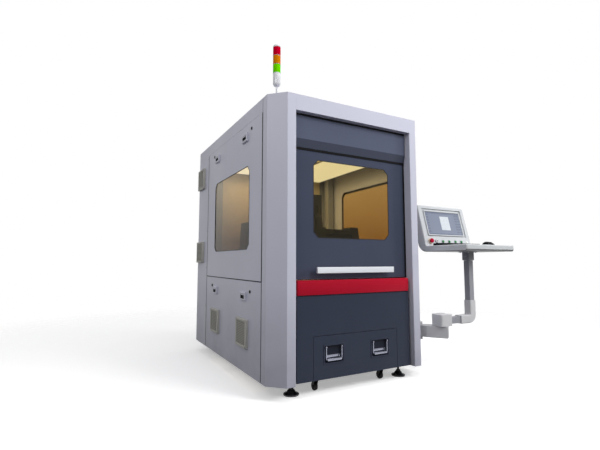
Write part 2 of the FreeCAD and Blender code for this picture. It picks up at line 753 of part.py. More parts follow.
def caster_fork(x, y, top):
    """Top plate, neck and two bent cheeks down to the axle, behind the swivel by its trail."""
    plate = prism(rect((x - 26, x + 26), (y - 26, y + 26)), 0, on_xy, top - 3.5, top)
    neck = faceted([(15, top - 10), (15, top - 3)], 16, Vec(x, y, 0))
    crown = prism(rect((x - 15.5, x + 15.5), (y - 20, y + TRAIL + 6)), 0, on_xy, top - 14, top - 9)
    fork = plate.fuse([neck, crown])
    for side in (-1, 1):
        cheek = [(y - 14, top - 10), (y + TRAIL + 6, top - 10), (y + TRAIL + 8, WHEEL_R),
                 (y + TRAIL, WHEEL_R - 9), (y + TRAIL - 9, WHEEL_R)]
        inner = x + side * 13
        cheek = prism(cheek, 0, on_yz, min(inner, inner + side * 2.5),
                      max(inner, inner + side * 2.5))
        fork = fork.fuse(cheek)
    axle = faceted([(AXLE_R, -14.5), (AXLE_R, 14.5)], 8, Vec(x, y + TRAIL, WHEEL_R), Vec(1, 0, 0))
    return fork.fuse(axle)


def caster_wheel(x, y):
    """Solid tyre with bevelled shoulders, bored for the axle."""
    half = WHEEL_W / 2
    tread = WHEEL_R - 0.5
    hub = Vec(x, y + TRAIL, WHEEL_R)
    tyre = faceted([(tread - 3, -half), (tread, 4 - half), (tread, half - 4), (tread - 3, half)], 16,
                   hub, Vec(1, 0, 0))
    return tyre.cut(faceted([(AXLE_R + 0.5, -half), (AXLE_R + 0.5, half)], 8, hub, Vec(1, 0, 0)))


def cart_front():
    """Pan front of the cart, flush with the lower front panel, with holes for the dishes."""
    z = (BASE + 6, CART_TOP)
    pan = span((-CART_HALF, CART_HALF), (PANEL_Y, PANEL_Y + PAN), z)
    inside = span((-CART_HALF + SHEET, CART_HALF - SHEET), (PANEL_Y + SHEET, PANEL_Y + PAN),
                  (z[0] + SHEET, z[1] - SHEET))
    pan = pan.cut(inside)
    for side in (-1, 1):
        hole = rect((side * BAIL_X - 74, side * BAIL_X + 74), (DISH_Z - 56, DISH_Z + 56))
        pan = pan.cut(prism(hole, 0, on_xz, PANEL_Y - 1, PANEL_Y + PAN))
    return pan


def handle_dish(x):
    """Pressed dish with a flat rim and two lugs that carry the bail."""
    w, h = DISH
    rim = prism(rect((x - w / 2, x + w / 2), (DISH_Z - h / 2, DISH_Z + h / 2)), 8, on_xz,
                PANEL_Y - 2, PANEL_Y, 3)
    tub = prism(rect((x - 73, x + 73), (DISH_Z - 55, DISH_Z + 55)), 0, on_xz, PANEL_Y - 1,
                PANEL_Y + 16)
    hollow = prism(rect((x - 71, x + 71), (DISH_Z - 53, DISH_Z + 53)), 0, on_xz, PANEL_Y - 3,
                   PANEL_Y + 14)
    dish = rim.fuse(tub).cut(hollow)
    for side in (-1, 1):
        u = (x + side * (BAIL_HALF + 0.5), x + side * 72)
        lug = span(u, (PANEL_Y - 9, PANEL_Y + 14), (BAIL_PIVOT_Z - 7, BAIL_PIVOT_Z + 7))
        eye = polygon(PANEL_Y - 3, BAIL_PIVOT_Z, 3.6, 8)
        lug = lug.cut(prism(eye, 0, on_yz, x - 80, x + 80))
        dish = dish.fuse(lug)
    return dish


def bail(x):
    """Folding handle: pivot ends, two flat arms and a round grip along the bottom."""
    y = PANEL_Y - 3
    low = BAIL_PIVOT_Z - BAIL_DROP
    grip = faceted([(7, -62), (9, -58), (9, 58), (7, 62)], 16, Vec(x, y - 2, low), Vec(1, 0, 0))
    parts = []
    for side in (-1, 1):
        inner = x + side * (BAIL_HALF - 9)
        outer = x + side * (BAIL_HALF - 1)
        parts.append(span((inner, outer), (y - 4, y + 2), (low, BAIL_PIVOT_Z + 5)))
        pin = x + side * (BAIL_HALF - 2)
        parts.append(faceted([(3, 0), (3, 7)], 8, Vec(pin, y, BAIL_PIVOT_Z), Vec(side, 0, 0)))
    return grip.fuse(parts)


save("cart_bin", cart_bin())
save("cart_front", cart_front())
save("handle_dishes", Part.makeCompound([handle_dish(-BAIL_X), handle_dish(BAIL_X)]))
for word, side in (("left", -1), ("right", 1)):
    save("bail_handle_" + word, bail(side * BAIL_X))
    save("caster_fork_" + word, caster_fork(side * CASTER_X, CASTER_Y[0], CART_FLOOR - 8.6))
    for place_word, y in zip(("front", "rear"), CASTER_Y):
        save("caster_wheel_" + place_word + "_" + word, caster_wheel(side * CASTER_X, y))

# ---------------------------------------------------------------- operator arm
PIN_R = 14.0
ARM_HALF = 44.0
JOINT_GAP = 1.0


def wall_bracket():
    """Wall plate with an upper and a lower lug, the pin between them and four screws."""
    low, high = ARM_LOW - 26, ARM_LOW + ARM_H + 26
    plate = prism(rect((ARM_AXIS.y - 42, ARM_AXIS.y + 42), (low - 16, high + 10)), 0, on_yz,
                  HALF_W + 0.5, HALF_W + 10)
    lug = rect((HALF_W + 4, ARM_AXIS.x + 30), (ARM_AXIS.y - 32, ARM_AXIS.y + 32))
    bracket = plate
    for z in (low + 4, ARM_LOW + ARM_H + JOINT_GAP):
        bracket = bracket.fuse(prism(lug, [0, 24, 24, 0], on_xy, z, z + 22 - JOINT_GAP, 5))
    pin = rod(ARM_AXIS + Vec(0, 0, low + 10), Vec(0, 0, 1), PIN_R, high - low - 20)
    screws = [prism(polygon(ARM_AXIS.y + v, z, 6.5, 6), 0, on_yz, HALF_W + 10, HALF_W + 15)
              for v in (-28, 28) for z in (low - 6, high + 1)]
    return bracket.fuse([pin] + screws)


def lower_arm():
    """Hinge arm casting from the wall pin to the middle swivel, with the swivel's own pin. It is
    slim at the wall, so that it turns clear of the bracket's plate."""
    run = KNEE_AXIS - ARM_AXIS
    length = run.Length
    edge = [(-34, 34), (20, 34), (70, ARM_HALF), (length + 47, ARM_HALF)]
    body = [(x, -y) for x, y in edge] + edge[::-1]
    arm = prism(body, [26, 0, 0, 0, 0, 0, 0, 26], on_xy, 0, ARM_H, 5)
    arm = arm.cut(rod(Vec(0, 0, -1), Vec(0, 0, 1), PIN_R + 0.4, ARM_H + 2))
    edges = [e for e in arm.Edges if abs(e.BoundBox.ZLength) < 1e-6 and e.BoundBox.XMax > 60]
    arm = arm.makeChamfer(2.5, edges)
    arm = arm.fuse(rod(Vec(length, 0, ARM_H - 1), Vec(0, 0, 1), 20, 61))
    arm.rotate(Vec(0, 0, 0), Vec(0, 0, 1), math.degrees(math.atan2(run.y, run.x)))
    arm.translate(ARM_AXIS + Vec(0, 0, ARM_LOW))
    return arm


KNEE_LOW = ARM_LOW + ARM_H + JOINT_GAP
KNEE_H = 90.0
KNEE_END = 865.0


def knee_joint():
    """Upper half of the middle swivel, with the socket of the horizontal tube."""
    body = rect((KNEE_AXIS.x - 60, KNEE_END), (KNEE_AXIS.y - 52, KNEE_AXIS.y + 52))
    joint = prism(body, [14, 0, 0, 14], on_xy, KNEE_LOW, KNEE_LOW + KNEE_H, 3)
    edges = [e for e in joint.Edges if e.BoundBox.ZMin > KNEE_LOW + KNEE_H - 1e-6]
    joint = joint.makeChamfer(3.0, edges)
    joint = joint.cut(rod(KNEE_AXIS + Vec(0, 0, KNEE_LOW - 1), Vec(0, 0, 1), 20.5, 63))
    socket = prism(rect((KNEE_AXIS.y - 25, KNEE_AXIS.y + 25), (TUBE_Z - 25, TUBE_Z + 25)), 0,
                   on_yz, KNEE_END - 24, KNEE_END + 1)
    return joint.cut(socket)


ELBOW_START = COLUMN_AXIS.x - 143


def arm_tube():
    """Horizontal square tube from the middle swivel into the elbow."""
    return square_tube(KNEE_AXIS.y, TUBE_Z, TUBE, 3.0, on_yz, KNEE_END - 24, ELBOW_START + 30)


ELBOW_TOP = 537.0


def arm_elbow():
    """Cast elbow: a square section swept round a quarter bend, its ends bored for the tubes."""
    half = ELBOW / 2
    x, y = COLUMN_AXIS.x, COLUMN_AXIS.y
    side = [(ELBOW_START, TUBE_Z - half), (x + half, TUBE_Z - half), (x + half, ELBOW_TOP),
            (x - half, ELBOW_TOP), (x - half, TUBE_Z + half), (ELBOW_START, TUBE_Z + half)]
    elbow = prism(side, [0, 66, 0, 0, 8, 0], on_xz, y - half, y + half, 6)
    edges = []
    for e in elbow.Edges:
        box = e.BoundBox
        flat = box.YLength < 1e-6
        end_face = box.XMax < ELBOW_START + 1e-6 or box.ZMin > ELBOW_TOP - 1e-6
        if flat and not end_face:
            edges.append(e)
    elbow = elbow.makeChamfer(5.0, edges)
    bore = rect((y - 25, y + 25), (TUBE_Z - 25, TUBE_Z + 25))
    elbow = elbow.cut(prism(bore, 0, on_yz, ELBOW_START - 1, ELBOW_START + 30))
    bore = rect((x - 25, x + 25), (y - 25, y + 25))
    return elbow.cut(prism(bore, 0, on_xy, ELBOW_TOP - 40, ELBOW_TOP + 1))


COLLAR_LOW = 861.0


def column_tube():
    """Upright square tube with the round swivel spigot at its top."""
    x, y = COLUMN_AXIS.x, COLUMN_AXIS.y
    tube = square_tube(x, y, TUBE, 3.0, on_xy, ELBOW_TOP - 40, COLLAR_LOW - 1)
    cap = prism(rect((x - 22, x + 22), (y - 22, y + 22)), 0, on_xy, COLLAR_LOW - 12, COLLAR_LOW - 1)
    return tube.fuse([cap, rod(Vec(x, y, COLLAR_LOW - 2), Vec(0, 0, 1), 18, 56)])


def column_collar():
    """Swivel head under the tray: square collar, bored for the spigot, with a flange."""
    x, y = COLUMN_AXIS.x, COLUMN_AXIS.y
    collar = prism(rect((x - 32, x + 32), (y - 32, y + 32)), 0, on_xy, COLLAR_LOW, TRAY_LOW - 5)
    flange = prism(rect((x - 55, x + 55), (y - 50, y + 50)), 0, on_xy, TRAY_LOW - 6, TRAY_LOW)
    return collar.fuse(flange).cut(rod(Vec(x, y, COLLAR_LOW - 1), Vec(0, 0, 1), 18.4, 60))


save("wall_bracket", wall_bracket())
save("lower_arm", lower_arm())
save("knee_joint", knee_joint())
save("arm_tube", arm_tube())
save("arm_elbow", arm_elbow())
save("column_tube", column_tube())
save("column_collar", column_collar())

# ---------------------------------------------------------------- console
CONSOLE_X = COLUMN_AXIS.x
TRAY_TOP = TRAY_LOW + TRAY_T
TILT = math.radians(FACE_TILT)
RECESS_SIDE = 42.0
RECESS_LOW = 84.0
RECESS_HIGH = 34.0
RECESS_D = 9.0
CONTROL_V = 42.0           # controls' height up the face


def face_point(u, v, w=0.0):
    """Point on the console's tilted face: u to the right, v up the face, w out of it."""
    y = FACE_FOOT + v * math.sin(TILT) - w * math.cos(TILT)
    z = TRAY_TOP + v * math.cos(TILT) + w * math.sin(TILT)
    return Vec(CONSOLE_X + u, y, z)


FACE_OUT = Vec(0, -math.cos(TILT), math.sin(TILT))


def on_face(u, v, w):
    return face_point(u, v, w)


def console_housing():
    """Keyboard tray and screen housing in one shell, its heel a large radius under the screen."""
    head_y, head_z = face_point(0, FACE_LEN).y, face_point(0, FACE_LEN).z
    back_y = head_y + HEEL * math.cos(TILT)
    back_z = head_z - HEEL * math.sin(TILT)
    foot_y = FACE_FOOT + HEEL / math.cos(TILT) - TRAY_T * math.tan(TILT)
    side = [(TRAY_FRONT, TRAY_LOW), (foot_y, TRAY_LOW), (back_y, back_z), (head_y, head_z),
            (FACE_FOOT, TRAY_TOP), (TRAY_FRONT, TRAY_TOP)]
    half = CONSOLE_W / 2
    shell = prism(side, [16, 92, 16, 16, 0, 10], on_yz, CONSOLE_X - half, CONSOLE_X + half)
    corners = []
    for e in shell.Edges:
        box = e.BoundBox
        upright = box.XLength < 1e-6
        if upright:
            corners.append(e)
    shell = shell.makeChamfer(5.0, corners)
    u = (-half + RECESS_SIDE, half - RECESS_SIDE)
    v = (RECESS_LOW, FACE_LEN - RECESS_HIGH)
    shell = shell.cut(prism(rect(u, v), 0, on_face, -RECESS_D, 2))
    return shell


DISPLAY_HALF = 221.0
DISPLAY_V = (98.0, 322.0)


def display_panel():
    """Flat display set in the recess."""
    face = rect((-DISPLAY_HALF, DISPLAY_HALF), DISPLAY_V)
    return prism(face, 0, on_face, -RECESS_D, -RECESS_D + 5)


CONTROLS_U = (-222.0, -150.0, -72.0, 6.0, 84.0, 160.0)
CONTROL_SINK = 1.0         # lower end of a control above the face, inside its bezel
CAP_SIDES = 16


def emergency_stop():
    """Mushroom head on its stem."""
    profile = [(8, CONTROL_SINK), (8, 13), (13, 13), (20, 18), (20, 24), (14, 30)]
    return faceted(profile, CAP_SIDES, face_point(CONTROLS_U[0], CONTROL_V), FACE_OUT)


def control_bezel(u, radius):
    """Faceted bezel that a control stands in."""
    return prism(polygon(u, CONTROL_V, radius, 12), 0, on_face, -1, 3)


def control_bore(u, radius):
    """Bore through a bezel, deep enough for the control's travel."""
    return prism(polygon(u, CONTROL_V, radius, 12), 0, on_face, -3.5, 4)


def selector_knob():
    """Round knob with a raised grip bar across it."""
    knob = faceted([(11, 3.5), (11, 10)], CAP_SIDES, Vec(0, 0, 0))
    grip = prism(rect((-3, 3), (-10, 10)), 0, on_xy, 9, 20)
    knob = knob.fuse(grip)
    knob.rotate(Vec(0, 0, 0), Vec(0, 0, 1), 30)
    knob.rotate(Vec(0, 0, 0), *turn_to(FACE_OUT))
    knob.translate(face_point(CONTROLS_U[1], CONTROL_V))
    return knob


def push_button(u):
    """Round cap with a bevelled rim."""
    profile = [(10.5, CONTROL_SINK), (10.5, 8.5), (9, 10)]
    return faceted(profile, CAP_SIDES, face_point(u, CONTROL_V), FACE_OUT)


def keyboard():
    """Wedge keyboard with its rows of keys standing on the sloping top."""
    x = CONSOLE_X - 70
    y = (-900.0, -745.0)
    low = TRAY_TOP
    side = [(y[0], low), (y[1], low), (y[1], low + 19), (y[0], low + 10)]
    board = prism(side, 0, on_yz, x - 210, x + 210)
    slope = 9.0 / (y[1] - y[0])
    for row in range(5):
        front = y[0] + 14 + row * 26.0
        high = low + 10 + slope * (front - y[0])
        board = board.fuse(span((x - 200, x + 200), (front, front + 21), (high - 1, high + 5)))
    return board


def mouse():
    """Low body, rounded in plan, its back arched from side to side of the palm."""
    x, y = CONSOLE_X + 200, -905.0
    plan = prism(rect((x - 31, x + 31), (y - 55, y + 55)), 24, on_xy, TRAY_TOP, TRAY_TOP + 40, 4)
    side = [(y - 56, TRAY_TOP), (y + 56, TRAY_TOP), (y + 50, TRAY_TOP + 20), (y + 24, TRAY_TOP + 32),
            (y - 14, TRAY_TOP + 30), (y - 50, TRAY_TOP + 16)]
    return plan.common(prism(side, 0, on_yz, x - 32, x + 32))


shell = console_housing()
for u, radius in zip(CONTROLS_U, (17.0, 15.0, 14.5, 14.5, 14.5, 14.5)):
    shell = shell.fuse(control_bezel(u, radius))
shell = shell.cut(control_bore(CONTROLS_U[0], 9.0))
for u in CONTROLS_U[2:]:
    shell = shell.cut(control_bore(u, 11.5))
save("console_housing", shell)
save("display_panel", display_panel())
save("emergency_stop", emergency_stop())
save("selector_knob", selector_knob())
for number, u in enumerate(CONTROLS_U[2:], 1):
    save("push_button_%d" % number, push_button(u))
save("keyboard", keyboard())
save("mouse", mouse())

# ---------------------------------------------------------------- bed and slat table
BED_X = 498.0
BED_FRONT = -700.0
BED_BACK = 500.0
SLAT_TOP = 862.0
SLATS = 10
TEETH = 8
FIELD_X = 400.0
FIELD_Y = (-620.0, 440.0)


def machine_bed():
    """Bed of butted bars: two box side beams on legs, tied by cross beams, with the table's ledges
    and the gantry's rails."""
    bars = []
    for side in (-1, 1):
        bars.append(square_beam(side * BED_X, (BED_FRONT, BED_BACK), (760.0, BED_TOP), 80.0))
        for y in (BED_FRONT + 60, BED_BACK - 120):
            leg = rect((side * BED_X - 35, side * BED_X + 35), (y, y + 70))
            bars.append(prism(leg, 0, on_xy, RAIL_LOW + RAIL_H, 760.0))
        ledge = (side * (BED_X - 40), side * (BED_X - 64))
        bars.append(span(ledge, (BED_FRONT + 40, BED_BACK - 40), (768, 778)))
        rail = span((side * BED_X - 10, side * BED_X + 10), (BED_FRONT + 20, BED_BACK - 20),
                    (BED_TOP, BED_TOP + 18))
        bars.append(rail)
    for y in (BED_FRONT + 60, BED_BACK - 120):
        bars.append(span((-BED_X + 35, BED_X - 35), (y, y + 70), (560, 640)))
    return Part.makeCompound(bars)


def square_beam(x, y, z, width):
    """Hollow rectangular beam along Y."""
    outer = prism(rect((x - width / 2, x + width / 2), z), 0, on_xz, y[0], y[1])
    inner = rect((x - width / 2 + 6, x + width / 2 - 6), (z[0] + 6, z[1] - 6))
    return outer.cut(prism(inner, 0, on_xz, y[0] - 1, y[1] + 1))


def slat_outline(low, high):
    """Saw-toothed slat from its flat foot to its row of points."""
    pitch = 2 * FIELD_X / TEETH
    points = [(-FIELD_X, low), (FIELD_X, low)]
    for i in range(TEETH, 0, -1):
        right = -FIELD_X + pitch * i
        points += [(right, high - 18), (right - pitch / 2, high)]
    points.append((-FIELD_X, high - 18))
    return points


def slat_table():
    """Frame of four bars, the two along the bed notched for a row of loose saw-toothed slats."""
    x = FIELD_X - 4
    y = (FIELD_Y[0] - 30, FIELD_Y[1] + 30)
    bars = [span((-x, x), (y[0], y[0] + 20), (780, 840)),
            span((-x, x), (y[1] - 20, y[1]), (780, 840))]
    pitch = (FIELD_Y[1] - FIELD_Y[0]) / (SLATS - 1)
    rows = [FIELD_Y[0] + pitch * i for i in range(SLATS)]
    for side in (-1, 1):
        comb = span((side * x, side * (FIELD_X + 20)), y, (780, 836))
        notches = [span((side * (x - 1), side * (FIELD_X + 1)), (row - 2.5, row + 2.5), (789, 837))
                   for row in rows]
        bars.append(comb.cut(notches))
    profile = slat_outline(790, SLAT_TOP)
    slats = [prism(profile, 0, on_xz, row - 1.5, row + 1.5) for row in rows]
    return Part.makeCompound(bars + slats)


save("machine_bed", machine_bed())
save("slat_table", slat_table())

# ---------------------------------------------------------------- axes of the cutting head
TRUCK_LOW = BED_TOP + 19
BEAM_LOW = 985.0
BEAM_HIGH = 1135.0
BEAM_D = 120.0
HEAD_X = 60.0


def gantry_beam():
    """Cross beam on two end trucks that straddle the bed's rails, with two guide rails in front."""
    front = GANTRY_Y - BEAM_D / 2
    beam = prism(rect((front, front + BEAM_D), (BEAM_LOW, BEAM_HIGH)), 0, on_yz, -BED_X - 40,
                 BED_X + 40)
    beam = beam.cut(prism(rect((front + 8, front + BEAM_D - 8), (BEAM_LOW + 8, BEAM_HIGH - 8)), 0,
                          on_yz, -BED_X - 41, BED_X + 41))
    parts = []
    for side in (-1, 1):
        x = (side * BED_X - 42, side * BED_X + 42)
        truck = [(GANTRY_Y - 100, TRUCK_LOW), (GANTRY_Y + 100, TRUCK_LOW), (GANTRY_Y + 100, 960),
                 (GANTRY_Y + 62, BEAM_HIGH + 24), (GANTRY_Y - 62, BEAM_HIGH + 24),
                 (GANTRY_Y - 100, 960)]
        block = prism(truck, 0, on_yz, x[0], x[1])
        groove = span((side * BED_X - 11, side * BED_X + 11), (GANTRY_Y - 101, GANTRY_Y + 101),
                      (TRUCK_LOW - 1, TRUCK_LOW + 6))
        parts.append(block.cut(groove))
    for z in (BEAM_LOW + 30, BEAM_HIGH - 30):
        parts.append(span((-BED_X + 45, BED_X - 45), (front - 12, front + 1), (z - 8, z + 8)))
    return beam.fuse(parts)


def x_carriage():
    """Carriage plate on the gantry's two rails with the drive's motor on top."""
    front = GANTRY_Y - BEAM_D / 2 - 13
    plate = span((HEAD_X - 80, HEAD_X + 80), (front - 18, front - 6), (BEAM_LOW, BEAM_HIGH + 60))
    parts = []
    for z in (BEAM_LOW + 30, BEAM_HIGH - 30):
        for x in (HEAD_X - 70, HEAD_X + 30):
            block = span((x, x + 40), (front - 7, front + 8), (z - 18, z + 18))
            parts.append(block.cut(span((x - 1, x + 41), (front, front + 9), (z - 8.5, z + 8.5))))
    cover = prism(rect((HEAD_X - 74, HEAD_X + 74), (BEAM_HIGH + 20, BEAM_HIGH + 290)), 0, on_xz,
                  front - 17, front + 90)
    rails = [span((HEAD_X + x - 6, HEAD_X + x + 6), (front - 26, front - 17),
                  (BEAM_LOW + 4, BEAM_HIGH + 56)) for x in (-50, 50)]
    return plate.fuse(parts + [cover] + rails)


def cutting_head():
    """Z slide with the head: collimator tube, focus block, water ring, taper and nozzle."""
    front = GANTRY_Y - BEAM_D / 2 - 40
    centre = Vec(HEAD_X, front - 52, 0)
    slide = span((HEAD_X - 70, HEAD_X + 70), (front - 12, front), (BEAM_LOW + 20, BEAM_HIGH + 40))
    groove = [span((HEAD_X + x - 6.5, HEAD_X + x + 6.5), (front - 1, front + 1),
                   (BEAM_LOW, BEAM_HIGH + 60)) for x in (-50, 50)]
    block = prism(rect((HEAD_X - 45, HEAD_X + 45), (front - 98, front - 11)), 0, on_xy,
                  BEAM_LOW + 30, BEAM_LOW + 150)
    low = SLAT_TOP + 26
    profile = [(4, low), (12, low + 16), (18, low + 16), (18, low + 34), (38, low + 62),
               (38, BEAM_LOW + 31)]
    nose = faceted(profile, 16, centre)
    profile = [(34, BEAM_LOW + 149), (34, BEAM_LOW + 240), (14, BEAM_LOW + 256), (14, BEAM_LOW + 336)]
    tower = faceted(profile, 16, centre)
    return slide.cut(groove).fuse([block, nose, tower])


save("gantry_beam", gantry_beam())
save("x_carriage", x_carriage())
save("cutting_head", cutting_head())

# ---------------------------------------------------------------- rear cabinet's contents
def laser_source():
    """Rack housing of the fiber source with its front handles."""
    case = span((-240, 240), (SIDE_REAR + 70, SIDE_REAR + 250), (500, 660))
    for x in (-200, 200):
        grip = span((x - 5, x + 5), (SIDE_REAR + 46, SIDE_REAR + 71), (530, 630))
        case = case.fuse(grip.cut(span((x - 6, x + 6), (SIDE_REAR + 56, SIDE_REAR + 72), (540, 620))))
    return case


def control_rack():
    """Mounting plate with the drives and the power supply in a row."""
    back = SIDE_REAR + 60
    rack = span((-430, 430), (back, back + 4), (720, 1380))
    for i in range(5):
        x = -400 + i * 110
        rack = rack.fuse(span((x, x + 80), (back + 3, back + 150), (1120, 1300)))
    rack = rack.fuse(span((170, 400), (back + 3, back + 120), (800, 960)))
    rack = rack.fuse(span((-400, 100), (back + 3, back + 60), (820, 900)))
    return rack


save("laser_source", laser_source())
save("control_rack", control_rack())
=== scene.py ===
# %% [markdown]
# # A fiber laser cutting machine
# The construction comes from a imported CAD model, and this file dresses it. It loads the model as
# a fixed frame, sets the camera and the studio, mixes the finishes, lays them on the frame's
# pieces, and then adds the small hardware that such a machine wears.

# %% Load the frame
import json
import math
import bmesh
import bpy
import numpy as np
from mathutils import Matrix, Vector


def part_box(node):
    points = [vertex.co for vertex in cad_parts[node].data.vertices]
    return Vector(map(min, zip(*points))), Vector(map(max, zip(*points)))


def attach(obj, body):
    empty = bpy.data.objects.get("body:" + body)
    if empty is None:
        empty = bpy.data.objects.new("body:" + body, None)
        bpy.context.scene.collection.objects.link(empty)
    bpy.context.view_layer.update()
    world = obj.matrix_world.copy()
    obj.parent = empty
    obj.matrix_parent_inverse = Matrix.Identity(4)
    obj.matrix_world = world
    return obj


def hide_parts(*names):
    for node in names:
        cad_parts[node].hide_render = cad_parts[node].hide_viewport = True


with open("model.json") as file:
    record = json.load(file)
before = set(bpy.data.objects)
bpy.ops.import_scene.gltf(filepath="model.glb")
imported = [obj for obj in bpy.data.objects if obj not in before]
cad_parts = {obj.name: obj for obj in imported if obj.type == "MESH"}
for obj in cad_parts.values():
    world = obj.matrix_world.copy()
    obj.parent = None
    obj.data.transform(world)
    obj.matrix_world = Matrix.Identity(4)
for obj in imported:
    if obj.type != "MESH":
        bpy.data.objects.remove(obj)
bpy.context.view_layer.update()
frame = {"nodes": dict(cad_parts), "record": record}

# %% [markdown]
# ## The camera
# The perspective was solved from the cabinet's edges: a short lens, low, close to the left front
# corner. A camera looks along its own -Z, so the direction of view is turned into a rotation.

# %% Camera
eye, lens_length, film_width = Vector((-1.664, -3.075, 0.851)), 23.72, 36.0
turn, tilt = math.radians(28.73), math.radians(5.27)
sight = (math.sin(turn) * math.cos(tilt), math.cos(turn) * math.cos(tilt), math.sin(tilt))


def aim(thing, place, way):
    """Puts a camera or a lamp at the place, looking along the way."""
    thing.location = place
    thing.rotation_mode = "QUATERNION"
    thing.rotation_quaternion = Vector(way).to_track_quat("-Z", "Y")
    bpy.context.collection.objects.link(thing)
    return thing


camera = aim(bpy.data.objects.new("camera", bpy.data.cameras.new("camera")), eye, sight)
camera.data.lens, camera.data.sensor_width = lens_length, film_width
bpy.context.scene.camera = camera
bpy.context.scene.view_settings.view_transform = "Standard"
print("camera:", tuple(round(value, 3) for value in eye), "m,", lens_length, "mm")

# %% [markdown]
# ## Colours
# Colours are easiest to judge as they appear on a screen, but a shader works in linear light.
# The helper below is the standard display curve, turned round.


# %% A display colour for a shader
def shade(red, green, blue):
    """Linear colour of a display colour: c/12.92 below 0.04045, else ((c+0.055)/1.055)^2.4."""
    parts = np.array([red, green, blue]) / 255
    linear = np.where(parts <= 0.04045, parts / 12.92, ((parts + 0.055) / 1.055) ** 2.4)
    return (*linear.tolist(), 1.0)


print("mid grey is", round(shade(128, 128, 128)[0], 3), "in linear light")

# %% [markdown]
# ## Node helpers
# A material is a tree of nodes whose sockets are linked. Written out link by link it is long and
# hard to read, so a few helpers take a socket or a plain number alike: what is a socket gets
# linked, and what is a number or a colour is set.


# %% Node helpers
def feed(socket, value):
    """Links a socket to this input, or sets the input to a number or a colour."""
    if isinstance(value, bpy.types.NodeSocket):
        socket.id_data.links.new(value, socket)
    else:
        socket.default_value = value


def add(tree, kind, **settings):
    """A new node of that kind in the tree, with its settings."""
    node = tree.nodes.new(kind)
    for name, value in settings.items():
        setattr(node, name, value)
    return node


def put(node, **values):
    """Feeds a node's inputs by name, where _ stands for a space."""
    for name, value in values.items():
        feed(node.inputs[name.replace("_", " ")], value)
    return node


print("node helpers: feed, add, put")


# %% Sums on the nodes
def calc(tree, operation, first, second):
    """A Math node over two sockets or numbers, and its output."""
    node = add(tree, "ShaderNodeMath", operation=operation)
    feed(node.inputs[0], first)
    feed(node.inputs[1], second)
    return node.outputs[0]


def blend(tree, share, first, second, kind="Color"):
    """A Color, or a Float, that goes from the first to the second as the share goes from 0 to 1."""
    node = add(tree, "ShaderNodeMix", data_type={"Color": "RGBA", "Float": "FLOAT"}[kind])
    ends = {socket.identifier: socket for socket in (*node.inputs, *node.outputs)}
    for end, value in (("Factor_Float", share), ("A_" + kind, first), ("B_" + kind, second)):
        feed(ends[end], value)
    return ends["Result_" + kind]


def ramp(tree, value, low, high, to_low=0.0, to_high=1.0):
    """The value carried from low..high to to_low..to_high, and held there beyond."""
    node = add(tree, "ShaderNodeMapRange", clamp=True)
    put(node, Value=value, From_Min=low, From_Max=high, To_Min=to_low, To_Max=to_high)
    return node.outputs["Result"]


def height_in(tree, kind, output):
    """The Z part of the output of a new node of that kind."""
    parts = add(tree, "ShaderNodeSeparateXYZ")
    return put(parts, Vector=add(tree, kind).outputs[output]).outputs["Z"]


def seen_in(tree):
    """1 on rays from the camera, through glass or off a gloss, and 0 on rays that bring light."""
    rays = add(tree, "ShaderNodeLightPath").outputs
    direct = calc(tree, "MAXIMUM", rays["Is Camera Ray"], rays["Is Transmission Ray"])
    return calc(tree, "MAXIMUM", direct, rays["Is Glossy Ray"])


print("sums on the nodes: calc, blend, ramp, height_in, seen_in")

# %% [markdown]
# ## The studio
# A catalogue picture has a white room with soft light. The world is white where the camera, a
# reflection or a pane of glass looks at it, and dimmer where it only lights the machine, so the
# ground is white without more light on the paint. It is darker below, as a room is under the
# windows. The floor is a disc whose rim fades out.

# %% World
world = bpy.data.worlds.new("studio")
bpy.context.scene.world = world
world.use_nodes = True
tree = world.node_tree
tree.nodes.clear()
room_light, ground_share, horizon = 0.38, 0.30, 0.3
height = height_in(tree, "ShaderNodeTexCoord", "Generated")
room = ramp(tree, height, -horizon, horizon, room_light * ground_share, room_light)
sky = put(add(tree, "ShaderNodeBackground"), Color=(1, 1, 1, 1),
          Strength=blend(tree, seen_in(tree), room, 1.0, "Float"))
put(add(tree, "ShaderNodeOutputWorld"), Surface=sky.outputs[0])
print("world: light", room_light, "from above, seen as 1")


# %% Floor
floor_radius, fade_from, fade_to = 7.0, 1.9, 4.6
seen_grey, bounced_grey, paper_glow = shade(240, 240, 241), shade(56, 56, 58), 0.37
floor_mesh = bmesh.new()
bmesh.ops.create_circle(floor_mesh, cap_ends=True, segments=96, radius=floor_radius)
floor = bpy.data.objects.new("floor", bpy.data.meshes.new("floor"))
floor_mesh.to_mesh(floor.data)
floor_mesh.free()
bpy.context.collection.objects.link(floor)

floor_paint = bpy.data.materials.new("floor")
floor_paint.use_nodes = True
tree = floor_paint.node_tree
tree.nodes.clear()
away = add(tree, "ShaderNodeVectorMath", operation="LENGTH")
put(away, Vector=add(tree, "ShaderNodeTexCoord").outputs["Object"])
seen = seen_in(tree)
ground = put(add(tree, "ShaderNodeBsdfPrincipled"), Roughness=0.9, Specular_IOR_Level=0.1,
             Base_Color=blend(tree, seen, bounced_grey, seen_grey), Emission_Color=(1, 1, 1, 1),
             Emission_Strength=calc(tree, "MULTIPLY", seen, paper_glow))
rim = add(tree, "ShaderNodeMixShader")
feed(rim.inputs[0], ramp(tree, away.outputs["Value"], fade_from, fade_to))
feed(rim.inputs[1], ground.outputs[0])
feed(rim.inputs[2], add(tree, "ShaderNodeBsdfTransparent").outputs[0])
put(add(tree, "ShaderNodeOutputMaterial"), Surface=rim.outputs[0])
floor.data.materials.append(floor_paint)
print("floor: fades out from", fade_from, "to", fade_to, "m")

